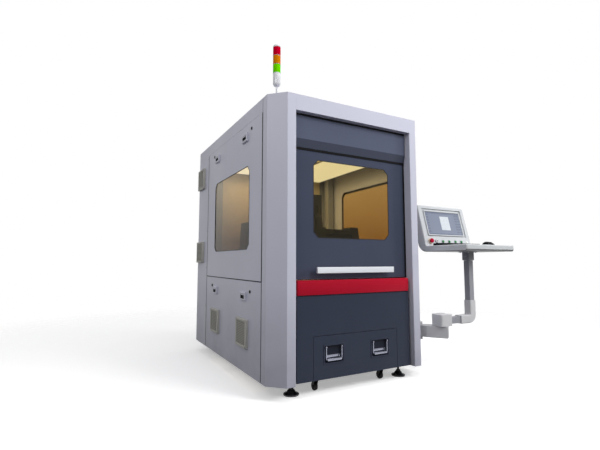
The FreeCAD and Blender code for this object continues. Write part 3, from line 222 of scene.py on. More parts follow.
# %% [markdown]
# ## The lamps
# Large lamps give soft shadows. The one in front stands high, so that the lintel and the header
# throw a shadow on the door. A small one on the right lights that side and the console, and a warm
# one under the chamber's ceiling lights what shows through the panes. The lamps that would show as
# white squares in paint or glass aren't seen by reflections or through panes.


# %% Lamps
def softbox(name, place, target, width, height, power):
    """A rectangular lamp at place that faces the target, in metres, with its power in watts."""
    lamp = bpy.data.objects.new(name, bpy.data.lights.new(name, "AREA"))
    lamp.data.shape = "RECTANGLE"
    lamp.data.size, lamp.data.size_y, lamp.data.energy = width, height, power
    return aim(lamp, place, Vector(target) - Vector(place))


front_light = softbox("front_light", (2.0, -4.6, 4.0), (0.1, -0.8, 1.0), 1.9, 1.9, 142)
softbox("top_light", (0.4, -0.6, 4.8), (0.0, 0.0, 1.0), 3.5, 3.5, 85)
softbox("left_light", (-3.6, -3.0, 3.4), (-0.6, -0.4, 1.5), 2.0, 2.0, 48)
right_light = softbox("right_light", (5.2, -3.3, 2.2), (0.1, -0.85, 1.1), 1.3, 1.3, 122)
under_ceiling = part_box("chamber_liner")[1][2] - 0.07
chamber_light = softbox("chamber_light", (0, -0.06, under_ceiling), (0, -0.059, 0.9), 0.9, 1.0, 5.5)
chamber_light.data.color = 1.0, 0.80, 0.55
for lamp in (front_light, right_light, chamber_light):
    lamp.visible_glossy = lamp.visible_transmission = False
print("lamps: front, top, left, right and in the chamber")

# %% [markdown]
# ## What several finishes share
# Powder coat, bare metal and moulded plastic all have three things: a fine grain, edges that the
# light rounds off and hands polish, and dust that settles low down. The low dust also carries
# painted shade: the colour is darker towards the floor. Each of these is one node group with its own
# inputs, so that every finish can use it with its own values.


# %% A new node group
def new_group(name, inputs, outputs):
    """A shader node group with number inputs and their defaults, and outputs of the given kinds.
    It comes with the sockets that it is given and the node that takes its results."""
    group = bpy.data.node_groups.new(name, "ShaderNodeTree")
    for label, value in inputs.items():
        socket = group.interface.new_socket(label, in_out="INPUT", socket_type="NodeSocketFloat")
        socket.default_value = value
    for label, kind in outputs.items():
        group.interface.new_socket(label, in_out="OUTPUT", socket_type="NodeSocket" + kind)
    return group, group.nodes.new("NodeGroupInput").outputs, group.nodes.new("NodeGroupOutput")


def object_noise(tree, scale, detail=2.0):
    """Noise over the object's own coordinates. The scale is a socket or a count per metre."""
    place = add(tree, "ShaderNodeTexCoord").outputs["Object"]
    noise = put(add(tree, "ShaderNodeTexNoise"), Vector=place, Scale=scale, Detail=detail)
    return noise.outputs[0]


print("tools for groups: new_group, object_noise")

# %% Grain
grain_group, given, result = new_group("coat_grain", {"Grain": 600.0, "Cloud": 2.0},
                                       {"Height": "Float", "Mottle": "Float"})
broad = object_noise(grain_group, given["Cloud"], 4.0)
put(result, Height=object_noise(grain_group, given["Grain"]),
    Mottle=ramp(grain_group, broad, 0.3, 0.7))
print("made", grain_group.name)

# %% Rounded and rubbed edges
edge_group, given, result = new_group("rubbed_edges", {"Radius": 0.002},
                                      {"Normal": "Vector", "Edge": "Float"})
rounding = put(add(edge_group, "ShaderNodeBevel", samples=6), Radius=given["Radius"])
agree = add(edge_group, "ShaderNodeVectorMath", operation="DOT_PRODUCT")
feed(agree.inputs[0], rounding.outputs["Normal"])
feed(agree.inputs[1], add(edge_group, "ShaderNodeNewGeometry").outputs["Normal"])
put(result, Normal=rounding.outputs["Normal"],
    Edge=ramp(edge_group, agree.outputs["Value"], 0.995, 0.85))
print("made", edge_group.name)

# %% Dust and painted shade
dust_and_shade_group, given, result = new_group("dust_and_painted_shade", {"Reach": 0.4, "Amount": 0.5},
                                      {"Dust": "Float"})
# Low down the mask is dust and also painted shade: the colour is darker towards the floor.
above_floor = height_in(dust_and_shade_group, "ShaderNodeTexCoord", "Object")
share_up = calc(dust_and_shade_group, "DIVIDE", above_floor, given["Reach"])
low_dust_and_shade = ramp(dust_and_shade_group, share_up, 0.0, 1.0, 1.0, 0.0)
facing_up = height_in(dust_and_shade_group, "ShaderNodeNewGeometry", "Normal")
lying = ramp(dust_and_shade_group, facing_up, 0.3, 1.0, 0.0, 0.12)
patchy = ramp(dust_and_shade_group, object_noise(dust_and_shade_group, 7.0, 5.0), 0.3, 0.7, 0.7, 1.0)
dust_and_shade_mask = calc(dust_and_shade_group, "MULTIPLY", calc(dust_and_shade_group, "MAXIMUM", low_dust_and_shade, lying), patchy)
put(result, Dust=calc(dust_and_shade_group, "MULTIPLY", dust_and_shade_mask, given["Amount"]))
print("node groups:", ", ".join(group.name for group in bpy.data.node_groups))

# %% [markdown]
# ## The finishes
# One function mixes every opaque finish from the three groups. The colour drifts a little, the
# edges are paler, dust and painted shade grey what lies low, and the grain is a bump. Where a sheet
# leans down, its colour is painted deeper, as the shade of less light from the floor. Numbers that
# are the same all over, such as a coat or the metal share, go on the shader's own sockets.

# %% The finish mixer
# Dust grey that is also painted shade: it darkens pale paint towards the floor.
DUST_AND_SHADE_GREY = shade(98, 97, 103)
edge_radius = 0.0015
finishes = {}


def new_finish(name):
    """A new material, kept under its name: its node tree and its shader."""
    finishes[name] = bpy.data.materials.new(name)
    finishes[name].use_nodes = True
    tree = finishes[name].node_tree
    return tree, tree.nodes["Principled BSDF"]


def scaled(colour, factor, lift=0.0):
    """The colour times the factor plus the lift, at most 1, with its alpha left at 1."""
    return (*(min(1.0, part * factor + lift) for part in colour[:3]), 1.0)


def finish(name, colour, rough, grain=600.0, bump=0.15, edge=0.25, drift=0.06, dust_and_shade=0.25,
           metal=0.0, coat=0.0, specular=0.5, reach=0.5, underside_shade=1.0):
    """A finish: display colour, roughness, grain per metre, share of bump, edge, drift and dust with
    painted shade, and how high that reaches. underside_shade is the share of colour left where a face
    leans down: painted shade."""
    tree, shader = new_finish(name)
    put(shader, Metallic=metal, Coat_Weight=coat, Coat_Roughness=0.12, Specular_IOR_Level=specular)
    coat_grain = put(add(tree, "ShaderNodeGroup", node_tree=grain_group), Grain=grain, Cloud=2.5)
    edges = put(add(tree, "ShaderNodeGroup", node_tree=edge_group), Radius=edge_radius)
    dust_and_shade_node = put(add(tree, "ShaderNodeGroup", node_tree=dust_and_shade_group), Reach=reach, Amount=dust_and_shade)
    mottle, dust_and_shade_mask = coat_grain.outputs["Mottle"], dust_and_shade_node.outputs["Dust"]
    base = shade(*colour)
    paint = blend(tree, mottle, base, scaled(base, 1 - drift))
    worn = calc(tree, "MULTIPLY", edges.outputs["Edge"], edge)
    paint = blend(tree, worn, paint, scaled(base, 1.35, 0.02))
    paint = blend(tree, dust_and_shade_mask, paint, DUST_AND_SHADE_GREY)
    # Painted shade: a face that leans down gets a deeper colour.
    if underside_shade < 1.0:
        facing_up = height_in(tree, "ShaderNodeNewGeometry", "Normal")
        painted_underside_shade = ramp(tree, facing_up, -0.20, -0.05, 1.0, 0.0)
        paint = blend(tree, painted_underside_shade, paint, scaled(base, underside_shade))
    dulled = calc(tree, "ADD", calc(tree, "MULTIPLY", mottle, 0.06), rough)
    dulled = calc(tree, "ADD", dulled, calc(tree, "MULTIPLY", dust_and_shade_mask, 0.3))
    relief = put(add(tree, "ShaderNodeBump"), Strength=bump, Distance=0.0004,
                 Height=coat_grain.outputs["Height"], Normal=edges.outputs["Normal"])
    return put(shader, Base_Color=paint, Roughness=dulled, Normal=relief.outputs["Normal"])


print("edges are rounded by", edge_radius * 1000, "mm")

# %% Paints
# The cabinet's dust share reaches high: mostly painted shade, darker towards the floor.
finish("cabinet_grey", (199, 200, 216), 0.42, grain=900, bump=0.10, dust_and_shade=0.5, reach=0.7, drift=0.03)
finish("frame_grey", (150, 152, 160), 0.5, grain=900, dust_and_shade=0.4)
finish("liner_cream", (222, 206, 176), 0.55, dust_and_shade=0.1, reach=0.1, specular=0.2)
finish("header_slate", (66, 72, 90), 0.42, grain=900, bump=0.12, dust_and_shade=0.03, specular=0.15)
# The header, the arm and the console get painted shade on faces that lean down.
finish("header_blue", (86, 92, 112), 0.42, grain=900, bump=0.12, dust_and_shade=0.03, specular=0.2, underside_shade=0.55)
finish("panel_charcoal", (49, 55, 71), 0.42, grain=900, bump=0.10, dust_and_shade=0.03, specular=0.15)
finish("band_red", (178, 20, 45), 0.42, grain=900, bump=0.08, dust_and_shade=0.02, specular=0.12)
finish("cart_grey", (46, 50, 61), 0.5, dust_and_shade=0.2, specular=0.25)
finish("arm_grey", (204, 204, 207), 0.45, grain=900, bump=0.10, underside_shade=0.6)
finish("tube_grey", (146, 147, 155), 0.42, grain=900, bump=0.10)
finish("collar_grey", (148, 149, 154), 0.45, grain=900, bump=0.10)
finish("console_grey", (196, 199, 202), 0.4, grain=900, bump=0.10, underside_shade=0.22)
finish("rack_grey", (120, 122, 128), 0.5)
finish("drive_grey", (196, 196, 198), 0.45)
print("finishes so far:", len(finishes))

# %% Metals, rubber and plastics
finish("handle_white", (232, 236, 242), 0.35, grain=1400, bump=0.05, metal=0.1, dust_and_shade=0.03)
finish("dish_black", (36, 39, 51), 0.3, grain=1200, bump=0.06, dust_and_shade=0.02, specular=0.06)
finish("bail_chrome", (146, 148, 162), 0.2, metal=1.0, grain=900, bump=0.02, drift=0.02, dust_and_shade=0.05)
finish("fork_steel", (14, 14, 16), 0.25, dust_and_shade=0.03, specular=0.2)
finish("axis_aluminium", (196, 198, 202), 0.38, metal=0.85, grain=1400)
finish("axis_black", (38, 39, 43), 0.42, grain=1200, bump=0.10, dust_and_shade=0.1)
finish("tower_silver", (205, 206, 210), 0.35, metal=0.2, dust_and_shade=0.05)
finish("foot_black", (16, 16, 19), 0.22, bump=0.02, dust_and_shade=0.02, reach=0.02, specular=1.0)
finish("tyre_black", (10, 10, 12), 0.28, bump=0.1, dust_and_shade=0.03, reach=0.03, specular=0.15)
finish("key_black", (13, 14, 16), 0.35, grain=1500, bump=0.15, dust_and_shade=0.03, specular=0.15)
finish("stop_red", (176, 2, 48), 0.3, bump=0.05, edge=0.0, dust_and_shade=0.0, specular=0.15)
finish("knob_white", (230, 230, 228), 0.35, bump=0.05, dust_and_shade=0.0)
finish("button_green", (20, 120, 60), 0.3, bump=0.03, coat=0.3, dust_and_shade=0.0)
finish("display_blue", (118, 128, 156), 0.25, bump=0.0, edge=0.0, dust_and_shade=0.0)
print("finishes so far:", len(finishes))

# %% [markdown]
# ## Amber glass and lamp lenses
# The panes are tinted acrylic that stops the laser's light. A sheet of it is a solid with two
# faces, so the shader is plain transmission with the tint as its base colour. The flank panes are
# painted deeper low down, where less light stands behind them, and each flank has a tint of its own:
# painted light and shade of what lies behind it. A lens of the signal tower is diffusing plastic:
# little light goes straight through, and a small glow of its own stands for the rest.


# %% Clear finishes
def clear_finish(name, colour, rough, share=1.0, glow=0.0, specular=0.1, ior=1.2):
    """Tinted plastic that lets its share of the light through, with an optional inner glow."""
    tree, shader = new_finish(name)
    base = shade(*colour)
    smear = ramp(tree, object_noise(tree, 3.0, 4.0), 0.3, 0.7, rough, rough + 0.03)
    tint = blend(tree, object_noise(tree, 1.5, 2.0), base, scaled(base, 0.94))
    return put(shader, Transmission_Weight=share, IOR=ior, Metallic=0.0, Emission_Strength=glow,
               Specular_IOR_Level=specular, Roughness=smear, Base_Color=tint, Emission_Color=base)


clear_finish("safety_amber", (232, 218, 164), 0.0)
# Painted light and shade: each flank gets its own tint, deeper low down.
for word, shaded_low_tint, lit_high_tint in (("left", (116, 96, 70), (240, 228, 196)),
                                  ("right", (132, 88, 28), (170, 136, 90))):
    pane = clear_finish("flank_amber_" + word, lit_high_tint, 0.0, specular=0.12, ior=1.18)
    tree = pane.id_data
    rise = ramp(tree, height_in(tree, "ShaderNodeTexCoord", "Object"), 1.0, 1.5)
    put(pane, Base_Color=blend(tree, rise, shade(*shaded_low_tint), shade(*lit_high_tint)))
for word, colour in (("green", (104, 204, 0)), ("amber", (200, 116, 4)), ("red", (188, 0, 36))):
    clear_finish("lens_" + word, colour, 0.3, share=0.03, glow=0.12, specular=0.0)
print("finishes with the clear ones:", len(finishes))

# %% [markdown]
# ## Dressing the frame
# Every node of the frame has a slot, which names its finish. A few nodes get a finish of their own,
# where the real part looks different from others in that slot. The door guides get a black finish,
# which paints the shade in the gap beside the door.

# %% Lay the finishes on the frame's nodes
# door_guides: black, a painted shade in the gap beside the door.
own_finish = {"column_tube": "tube_grey", "arm_tube": "tube_grey", "column_collar": "collar_grey",
              "header_cover": "header_blue", "gantry_beam": "axis_black", "x_carriage": "axis_black",
              "cutting_head": "axis_black", "side_window_left": "flank_amber_left",
              "side_window_right": "flank_amber_right", "door_guides": "tyre_black"}
for subpart in frame["record"]["subparts"]:
    node = frame["nodes"][subpart["node"]]
    node.data.materials.clear()
    node.data.materials.append(finishes[own_finish.get(subpart["node"], subpart["material_slot"])])

# %% [markdown]
# ## Tools for the hardware
# Everything small on such a machine is turned, pressed or moulded: it has an outline, and a few
# steps that draw the outline in and lift it. So a piece here is a stack of rings of points,
# skinned with quads. A flat outline lives on a board, a place with its own across, up and out.


# %% Flat outlines
def rounded(width, height, radius, steps=5):
    """A rectangle with round corners: quarter circles about points that lie the radius inside.
    With one step a corner is simply cut off."""
    turns = np.arange(4)[:, None] * np.pi / 2
    angle = turns + np.linspace(0, np.pi / 2, steps + 1)[None, :]
    sides = np.sign(np.cos(turns + np.pi / 4)), np.sign(np.sin(turns + np.pi / 4))
    across = sides[0] * (width / 2 - radius) + radius * np.cos(angle)
    up = sides[1] * (height / 2 - radius) + radius * np.sin(angle)
    return np.stack([across.ravel(), up.ravel()], 1)


def circle(radius, sides=32):
    """Points at even angles, all at the radius from the middle."""
    angle = np.arange(sides) * 2 * np.pi / sides
    return radius * np.stack([np.cos(angle), np.sin(angle)], 1)


def inset(outline, gap):
    """The outline drawn in by the gap: a point moves by the sum of the inward normals of its two
    edges, divided by one plus the product of those normals, as a mitre does."""
    ahead = np.roll(outline, -1, 0) - outline
    ahead = ahead / np.linalg.norm(ahead, axis=1, keepdims=True)
    normal = np.stack([-ahead[:, 1], ahead[:, 0]], 1)
    before = np.roll(normal, 1, 0)
    return outline + gap * (normal + before) / (1 + (normal * before).sum(1, keepdims=True))


print("a window has", len(rounded(0.6, 0.5, 0.04, 1)), "corners")


# %% Boards
def board(origin, across, up):
    """A place to draw on: a flat point (u, v) at height w goes to origin + u across + v up + w
    out, where out is across turned onto up."""
    origin, across, up = (np.array(value, float) for value in (origin, across, up))
    out = np.cross(across, up)

    def place(flat, height=0.0, middle=(0.0, 0.0)):
        flat = np.asarray(flat, float) + np.asarray(middle, float)
        return origin + flat[:, :1] * across + flat[:, 1:] * up + height * out

    return place


RIGHT, BACKWARD, UP = (1, 0, 0), (0, 1, 0), (0, 0, 1)
SIDES = ((-1, "left"), (1, "right"))


def front_board(depth):
    """Faces the operator at that depth, with u to the right and v up."""
    return board((0, depth, 0), RIGHT, UP)


def side_board(side, reach):
    """Lies on the left (-1) or right (1) flank, with u along the machine and v up."""
    return board((side * reach, 0, 0), (0, side, 0), UP)


print("a flank's board faces", side_board(-1, 0.0)(np.zeros((1, 2)), 1.0)[0])


# %% Skins
def skin(rings, looped=False):
    """Quads between rings with equally many points, closed round each ring. The ends are capped
    unless the stack of rings is looped, as on a gasket."""
    rings = np.asarray(rings, float)
    count, size = rings.shape[:2]
    index = np.arange(count * size).reshape(count, size)
    beside, beyond = np.roll(index, -1, 1), np.roll(index, -1, 0)
    quads = np.stack([index, beside, np.roll(beside, -1, 0), beyond], -1)
    faces = (quads if looped else quads[:-1]).reshape(-1, 4).tolist()
    if not looped:
        faces += [index[0][::-1].tolist(), index[-1].tolist()]
    return rings.reshape(-1, 3), faces


def stack(outline, steps, place, middle=(0.0, 0.0)):
    """A solid of steps (gap, height): the outline drawn in by the gap and lifted by the height."""
    return skin([place(inset(outline, gap), height, middle) for gap, height in steps])


def frame_round(outline, profile, place, middle=(0.0, 0.0)):
    """A profile of (gap, height) points carried round the outline, back to its start."""
    rings = [place(inset(outline, gap), height, middle) for gap, height in profile]
    return skin(rings, looped=True)


print("a plain block has", len(stack(rounded(1, 1, 0.1, 1), [(0, 0), (0, 1)], front_board(0))[1]), "faces")


# %% Turned pieces
def both_ends(steps, middle=()):
    """A profile of (radius, height) steps, the middle, and the steps again turned upside down."""
    return [*steps, *middle, *((radius, -height) for radius, height in reversed(steps))]


def turned(profile, centre, axis=UP, sides=32, looped=False):
    """A turned piece: each (radius, height) step is a circle about the axis."""
    axis = np.array(axis, float) / np.linalg.norm(axis)
    start = np.cross(axis, RIGHT if abs(axis[0]) < 0.7 else BACKWARD)
    start = start / np.linalg.norm(start)
    ring = circle(1.0, sides)
    unit = ring[:, :1] * start + ring[:, 1:] * np.cross(axis, start)
    centre = np.array(centre, float)
    return skin([centre + radius * unit + height * axis for radius, height in profile], looped)


print("a pin turned on both ends:", both_ends([(0.0, -2), (1.0, -2)]))


# %% Bars
def bar(path, radius, normal, sides=12):
    """A round bar along a path in one plane: each ring lies between the plane's normal and the
    normal to the path in the plane."""
    path, normal = np.array(path, float), np.array(normal, float)
    ahead = np.gradient(path, axis=0)
    ahead = ahead / np.linalg.norm(ahead, axis=1, keepdims=True)
    beside = np.cross(ahead, normal)
    ring = circle(radius, sides)
    return skin(path[:, None] + ring[:, :1] * normal + ring[:, 1:] * beside[:, None])


def bent(points, radius, steps=6):
    """A path through the points whose corners are rounded: each is the curve between the points a
    radius before and after it, (1-t)^2 a + 2t(1-t) corner + t^2 b."""
    points = np.array(points, float)
    t = np.linspace(0, 1, steps + 1)[:, None]
    path = [points[:1]]
    for before, corner, after in zip(points, points[1:], points[2:]):
        a = corner + radius * (before - corner) / np.linalg.norm(before - corner)
        b = corner + radius * (after - corner) / np.linalg.norm(after - corner)
        path.append((1 - t) ** 2 * a + 2 * t * (1 - t) * corner + t ** 2 * b)
    return np.concatenate([*path, points[-1:]])


print("a bend has", len(bent([(0, 0), (1, 0), (1, 1)], 0.1)), "points with its ends")

# %% From skins to a piece
smooth_under = math.radians(38)


def piece(name, skins, finish_name, body, replaces=()):
    """One mesh of several skins, its normals outwards, smooth where faces meet at a small angle,
    with its finish, riding a body."""
    points, faces, start = [], [], 0
    for skin_points, skin_faces in skins:
        points.append(skin_points)
        faces += [[corner + start for corner in face] for face in skin_faces]
        start += len(skin_points)
    mesh = bpy.data.meshes.new(name)
    mesh.from_pydata(np.concatenate(points), [], faces)
    work = bmesh.new()
    work.from_mesh(mesh)
    bmesh.ops.remove_doubles(work, verts=work.verts, dist=1e-6)
    bmesh.ops.recalc_face_normals(work, faces=work.faces)
    work.to_mesh(mesh)
    work.free()
    mesh.polygons.foreach_set("use_smooth", np.ones(len(mesh.polygons), bool))
    mesh.set_sharp_from_angle(angle=smooth_under)
    mesh.materials.append(finishes[finish_name])
    made = bpy.data.objects.new(name, mesh)
    bpy.context.collection.objects.link(made)
    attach(made, body)
    if replaces:
        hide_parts(*replaces)
    return made


print("faces meet smoothly under", round(math.degrees(smooth_under)), "degrees")

# %% [markdown]
# ## Hardware finishes
# The small parts need a few finishes that no frame node has: the rubber of windows and seams, whose
# dark grey in the seams is also a painted shade, a fan grille's warm plastic and the shadow behind
# its blades, the steel of screws, the contact ring under the emergency stop, and the opal sheet of
# the lamps, which glows on its own.

# %% Hardware finishes
# Seam strips: dark grey that also paints the shade of the seam grooves.
finish("seam_shade_grey", (46, 48, 57), 0.6, grain=1500, bump=0.2, edge=0.1, dust_and_shade=0.05, specular=0.1)
finish("gasket_rubber", (26, 27, 31), 0.55, grain=1500, bump=0.25, edge=0.1, dust_and_shade=0.05)
finish("vent_plastic", (182, 181, 175), 0.55, grain=1200, bump=0.15, dust_and_shade=0.1)
finish("vent_shadow", (150, 149, 142), 0.8, edge=0.0, dust_and_shade=0.1)
finish("screw_steel", (168, 170, 176), 0.32, metal=0.9, grain=2000, bump=0.05, dust_and_shade=0.08)
finish("stop_ring", (196, 180, 160), 0.4, bump=0.05, dust_and_shade=0.0)
put(finish("opal_glow", (236, 236, 226), 0.35, bump=0.0, edge=0.0, dust_and_shade=0.0),
    Emission_Color=(1, 0.97, 0.90, 1), Emission_Strength=0.78)
print("finishes:", len(finishes))

# %% [markdown]
# ## Gaskets
# A pane in sheet metal sits in a rubber profile that grips the cut-out's edge. It could be a bent
# tube, but its section isn't round, so a small profile is carried round the cut-out: over the
# sheet, down its edge and back along the pane.

# %% Gaskets round the panes
door_front, flank_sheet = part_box("door_panel")[0][1], 0.653
window_cut = 0.037
gasket_profile = [(-0.0030, 0.0), (-0.0030, 0.0008), (-0.0018, 0.0018), (0.0012, 0.0018),
                  (0.0024, 0.0008), (0.0024, -0.0019), (0.0, -0.0019), (0.0, 0.0)]


def gasket(name, place, low, high, body):
    """Rubber round a cut-out between the flat corners low and high, whose corners are cut off."""
    low, high = np.array(low), np.array(high)
    outline = rounded(*(high - low), window_cut, 1)
    shell = frame_round(outline, gasket_profile, place, (low + high) / 2)
    return piece(name, [shell], "gasket_rubber", body)


gasket("door_gasket", front_board(door_front), (-0.324, 1.009), (0.324, 1.536), "lift_door")
gasket("gasket_left", side_board(-1, flank_sheet), (-0.325, 0.937), (0.485, 1.531), "cabinet")
gasket("gasket_right", side_board(1, flank_sheet), (-0.485, 0.937), (0.230, 1.531), "cabinet")
print("gaskets: door, left and right")

# %% [markdown]
# ## Seals between the side panels
# Stray laser light must not leave the cabinet, so a rubber strip fills each gap between the
# lift-off panels and the fixed sheets. Its section is a T: the stem stands in the gap, and a low
# round cap covers the edges on both sides. The strips are dark grey, a painted shade of the seam
# grooves, so the seams show as dark lines. The cap of the seam in front is the widest, which widens
# its dark line. Under the roof's edge a folded lip fills the last gap.

# %% Panel seals
seam_gap, seal_lip, front_lip = 0.004, 0.0022, 0.0050
strip_corner, stem_depth, play = 0.0012, 0.010, 0.0002


def seal(place, low, high, lip=seal_lip):
    """A strip between two flat corners: the stem below the sheets, and the cap over their edges,
    drawn in twice so that its back is round."""
    low, high = np.array(low), np.array(high)
    outline = rounded(*(high - low), strip_corner, 2)
    return stack(outline, [(0, -stem_depth), (0, 0.0001), (-lip, 0.0001), (-lip, 0.0005),
                           (-lip + 0.0007, 0.0011), (0.0008, 0.0014)], place, (low + high) / 2)


cad_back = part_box("rear_side_panels")[1][1]
for side, word in SIDES:
    flat = side_board(side, flank_sheet)
    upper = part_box("upper_side_panel_" + word)
    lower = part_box("lower_side_panel_" + word)
    front, rear = upper[0][1], upper[1][1]
    strips = []
    for edge in (front - seam_gap, rear):
        ends = sorted((side * (edge + play), side * (edge + seam_gap - play)))
        lip = front_lip if edge < front else seal_lip
        strips.append(seal(flat, (ends[0], upper[0][2]), (ends[1], upper[1][2] - 0.004), lip))
        strips.append(seal(flat, (ends[0], lower[0][2] + 0.010), (ends[1], lower[1][2])))
    across = sorted((side * front, side * rear))
    strips.append(seal(flat, (across[0] + 0.002, lower[1][2] + play),
                       (across[1] - 0.002, upper[0][2] - play)))
    piece("seam_shade_seals_" + word, strips, "seam_shade_grey", "cabinet")
    closing = rounded(cad_back - front - 0.001, seam_gap - 2 * play, strip_corner, 2)
    closer = stack(closing, [(0, -stem_depth), (0, -0.0007), (0.0005, -0.0003)], flat,
                   (side * (front + cad_back) / 2, upper[1][2] + seam_gap / 2))
    piece("roof_lip_" + word, [closer], "cabinet_grey", "cabinet")
print("seals: 10 strips, roof lips: 2")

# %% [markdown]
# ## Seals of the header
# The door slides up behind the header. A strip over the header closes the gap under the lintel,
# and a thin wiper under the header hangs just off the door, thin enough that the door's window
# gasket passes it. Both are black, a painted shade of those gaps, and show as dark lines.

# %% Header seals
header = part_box("header_cover")
header_width = header[1][0] - header[0][0]
strips = []
for width, height, steps, depth, middle in (
        (header_width, 0.0125, [(0, 0), (0, 0.0010), (0.0008, 0.0018)],
         header[0][1] - 0.0002, header[1][2] + 0.0025),
        (header_width - 0.006, 0.0145, [(0, -0.0025), (0, -0.0006), (0.0006, 0)],
         header[0][1] + 0.0150, header[0][2] - 0.0075)):
    strips.append(stack(rounded(width, height, 0.002, 2), steps, front_board(depth), (0, middle)))
# Black strips: a painted shade of the gaps over and under the header.
piece("header_shade_seals", strips, "tyre_black", "cabinet")
print("header seals:", len(strips))

# %% [markdown]
# ## Vents
# The fan filters have a square plastic frame over the pressed hood, with a row of sloping blades.
# Each blade is one section carried across, and the hood behind them shows as shadow.

# %% Vents
back_face, hood_face = 0.885, 0.0147
vent_size, tall_vent_size = (0.196, 0.186), (0.196, 0.190)
frame_profile = [(0.0, 0.0), (0.0, 0.0175), (0.002, 0.0195), (0.015, 0.0195), (0.017, 0.0175),
                 (0.017, hood_face + 0.0002), (0.003, hood_face + 0.0002), (0.003, 0.0)]
blade_section = np.array([(0.0, 0.0155), (0.0016, 0.0155), (0.0052, 0.0185), (0.0036, 0.0185)])


def vent(name, place, middle, width, height, blades=14):
    """A grille over a hood: the frame, the dark backing and blades at even heights. A blade is its
    section of (rise, height) points at the left end and at the right end."""
    outline = rounded(width + 0.0075, height + 0.0075, 0.006, 3)
    hood = rounded(width - 0.012, height - 0.012, 0.004, 2)
    backing = stack(hood, [(0, hood_face + 0.0003), (0, hood_face + 0.0008)], place, middle)
    skins = [frame_round(outline, frame_profile, place, middle)]
    reach, inner = width / 2 - 0.0135, height - 0.030
    rise, lift = blade_section[:, :1], blade_section[:, 1:]
    for low in np.linspace(-inner / 2, inner / 2 - 0.0052, blades):
        skins.append(skin([place(np.hstack([0 * rise + end, low + rise]), lift, middle)
                           for end in (-reach, reach)]))
    piece(name, skins, "vent_plastic", "cabinet")
    piece(name + "_shadow", [backing], "vent_shadow", "cabinet")


for side, word in SIDES:
    flank_place = side_board(side, flank_sheet)
    for middle, label in ((-0.390, "front"), (0.254, "back")):
        vent(f"vent_{word}_{label}", flank_place, (side * middle, 0.356), *vent_size)
    for height, label in ((1.652, "upper"), (0.939, "lower")):
        vent(f"rear_vent_{word}_{label}", flank_place, (side * 0.770, height), *tall_vent_size)
    back_place = board((0, back_face, 0), (-1, 0, 0), UP)
    vent(f"back_vent_{word}", back_place, (side * 0.330, 0.356), *vent_size)
print("vents: 10")

# %% [markdown]
# ## Pulls and locks
# A panel's finger pull has a dark liner in its recess, a painted shade of the recess, and a rolled
# lip over it that the fingers hook behind. Beside each pull sits a quarter-turn lock: a round black case
# with a slot.

# %% Pulls and locks
pull_places = [(0.406, 1.748), (-0.263, 1.748), (0.406, 0.608), (-0.263, 0.608)]
lock_places = [(0.521, 1.790), (-0.370, 1.790), (0.521, 0.645), (-0.370, 0.645)]
pull_recess, lip_size, lip_rise, slot_size = (0.068, 0.034), (0.066, 0.009), 0.0115, (0.0035, 0.013)
shade_liner_profile = [(0.0001, 0.0002), (0.0001, 0.0138), (0.0012, 0.0138), (0.0024, 0.0012),
                 (0.02, 0.0010), (0.02, 0.0002)]
lock_case = [(0.0115, 0.0), (0.0115, 0.0030), (0.0100, 0.0045), (0.0085, 0.0045), (0.0080, 0.0034),
             (0.0, 0.0034)]


def panel_hardware(side, word):
    """The shade liners, lips and locks of one flank."""
    place = side_board(side, flank_sheet)
    shade_liners, lips, locks = [], [], []
    for along, height in pull_places:
        middle = (-side * along, height)
        shade_liners.append(frame_round(rounded(*pull_recess, 0.004, 3), shade_liner_profile, place, middle))
        lips.append(stack(rounded(*lip_size, 0.004, 4), [(0, 0.0105), (0, 0.0125), (0.0012, 0.0137)],
                          place, (middle[0], middle[1] + lip_rise)))
    for along, height in lock_places:
        middle = (-side * along, height)
        locks.append(turned(lock_case, place(np.array([middle]))[0], (side, 0, 0), 24))
        locks.append(stack(rounded(*slot_size, 0.0012, 2), [(0, 0.0030), (0, 0.0050), (0.0005, 0.0055)],
                           place, middle))
    # Dark liners: a painted shade in the recesses.
    piece(f"pull_shade_liners_{word}", shade_liners, "gasket_rubber", "cabinet")
    piece(f"pull_lips_{word}", lips, "cabinet_grey", "cabinet")
    piece(f"locks_{word}", locks, "key_black", "cabinet")


for side, word in SIDES:
    panel_hardware(side, word)
print("pulls: 8, locks: 8")

# %% [markdown]
# ## The signal tower
# Three ribbed lenses are clamped between thin pale rings on a silver base. The ribs run upright,
# so each ring of a lens is a circle whose radius ripples: r (1 + share cos(n angle)).

# %% Lenses
tower = np.array([*np.mean([np.array(corner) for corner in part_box("tower_lens_red")], 0)[:2], 0.0])
lens_radius, rib_depth, rib_count = 0.0262, 0.012, 30


def lens(name, slot_name):
    """A ribbed lens between the heights of its node."""
    low, high = (corner[2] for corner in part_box(name))
    ring = circle(1.0, rib_count * 6)
    angle = np.arctan2(ring[:, 1], ring[:, 0])
    ripple = 1 - rib_depth * (0.5 - 0.5 * np.cos(rib_count * angle))
    rings = []
    for share, height in ((0.90, low), (0.985, low + 0.001), (1.0, low + 0.003), (1.0, high - 0.003),
                          (0.985, high - 0.001), (0.90, high)):
        flat = ring * (lens_radius * share * ripple)[:, None]
        rings.append(np.column_stack([flat, np.full(len(flat), height)]) + tower)
    return piece(name + "_ribbed", [skin(rings)], slot_name, "cabinet", replaces=(name,))


for colour in ("green", "amber", "red"):
    lens("tower_lens_" + colour, "lens_" + colour)
print("lenses: 3, each with", rib_count, "ribs")

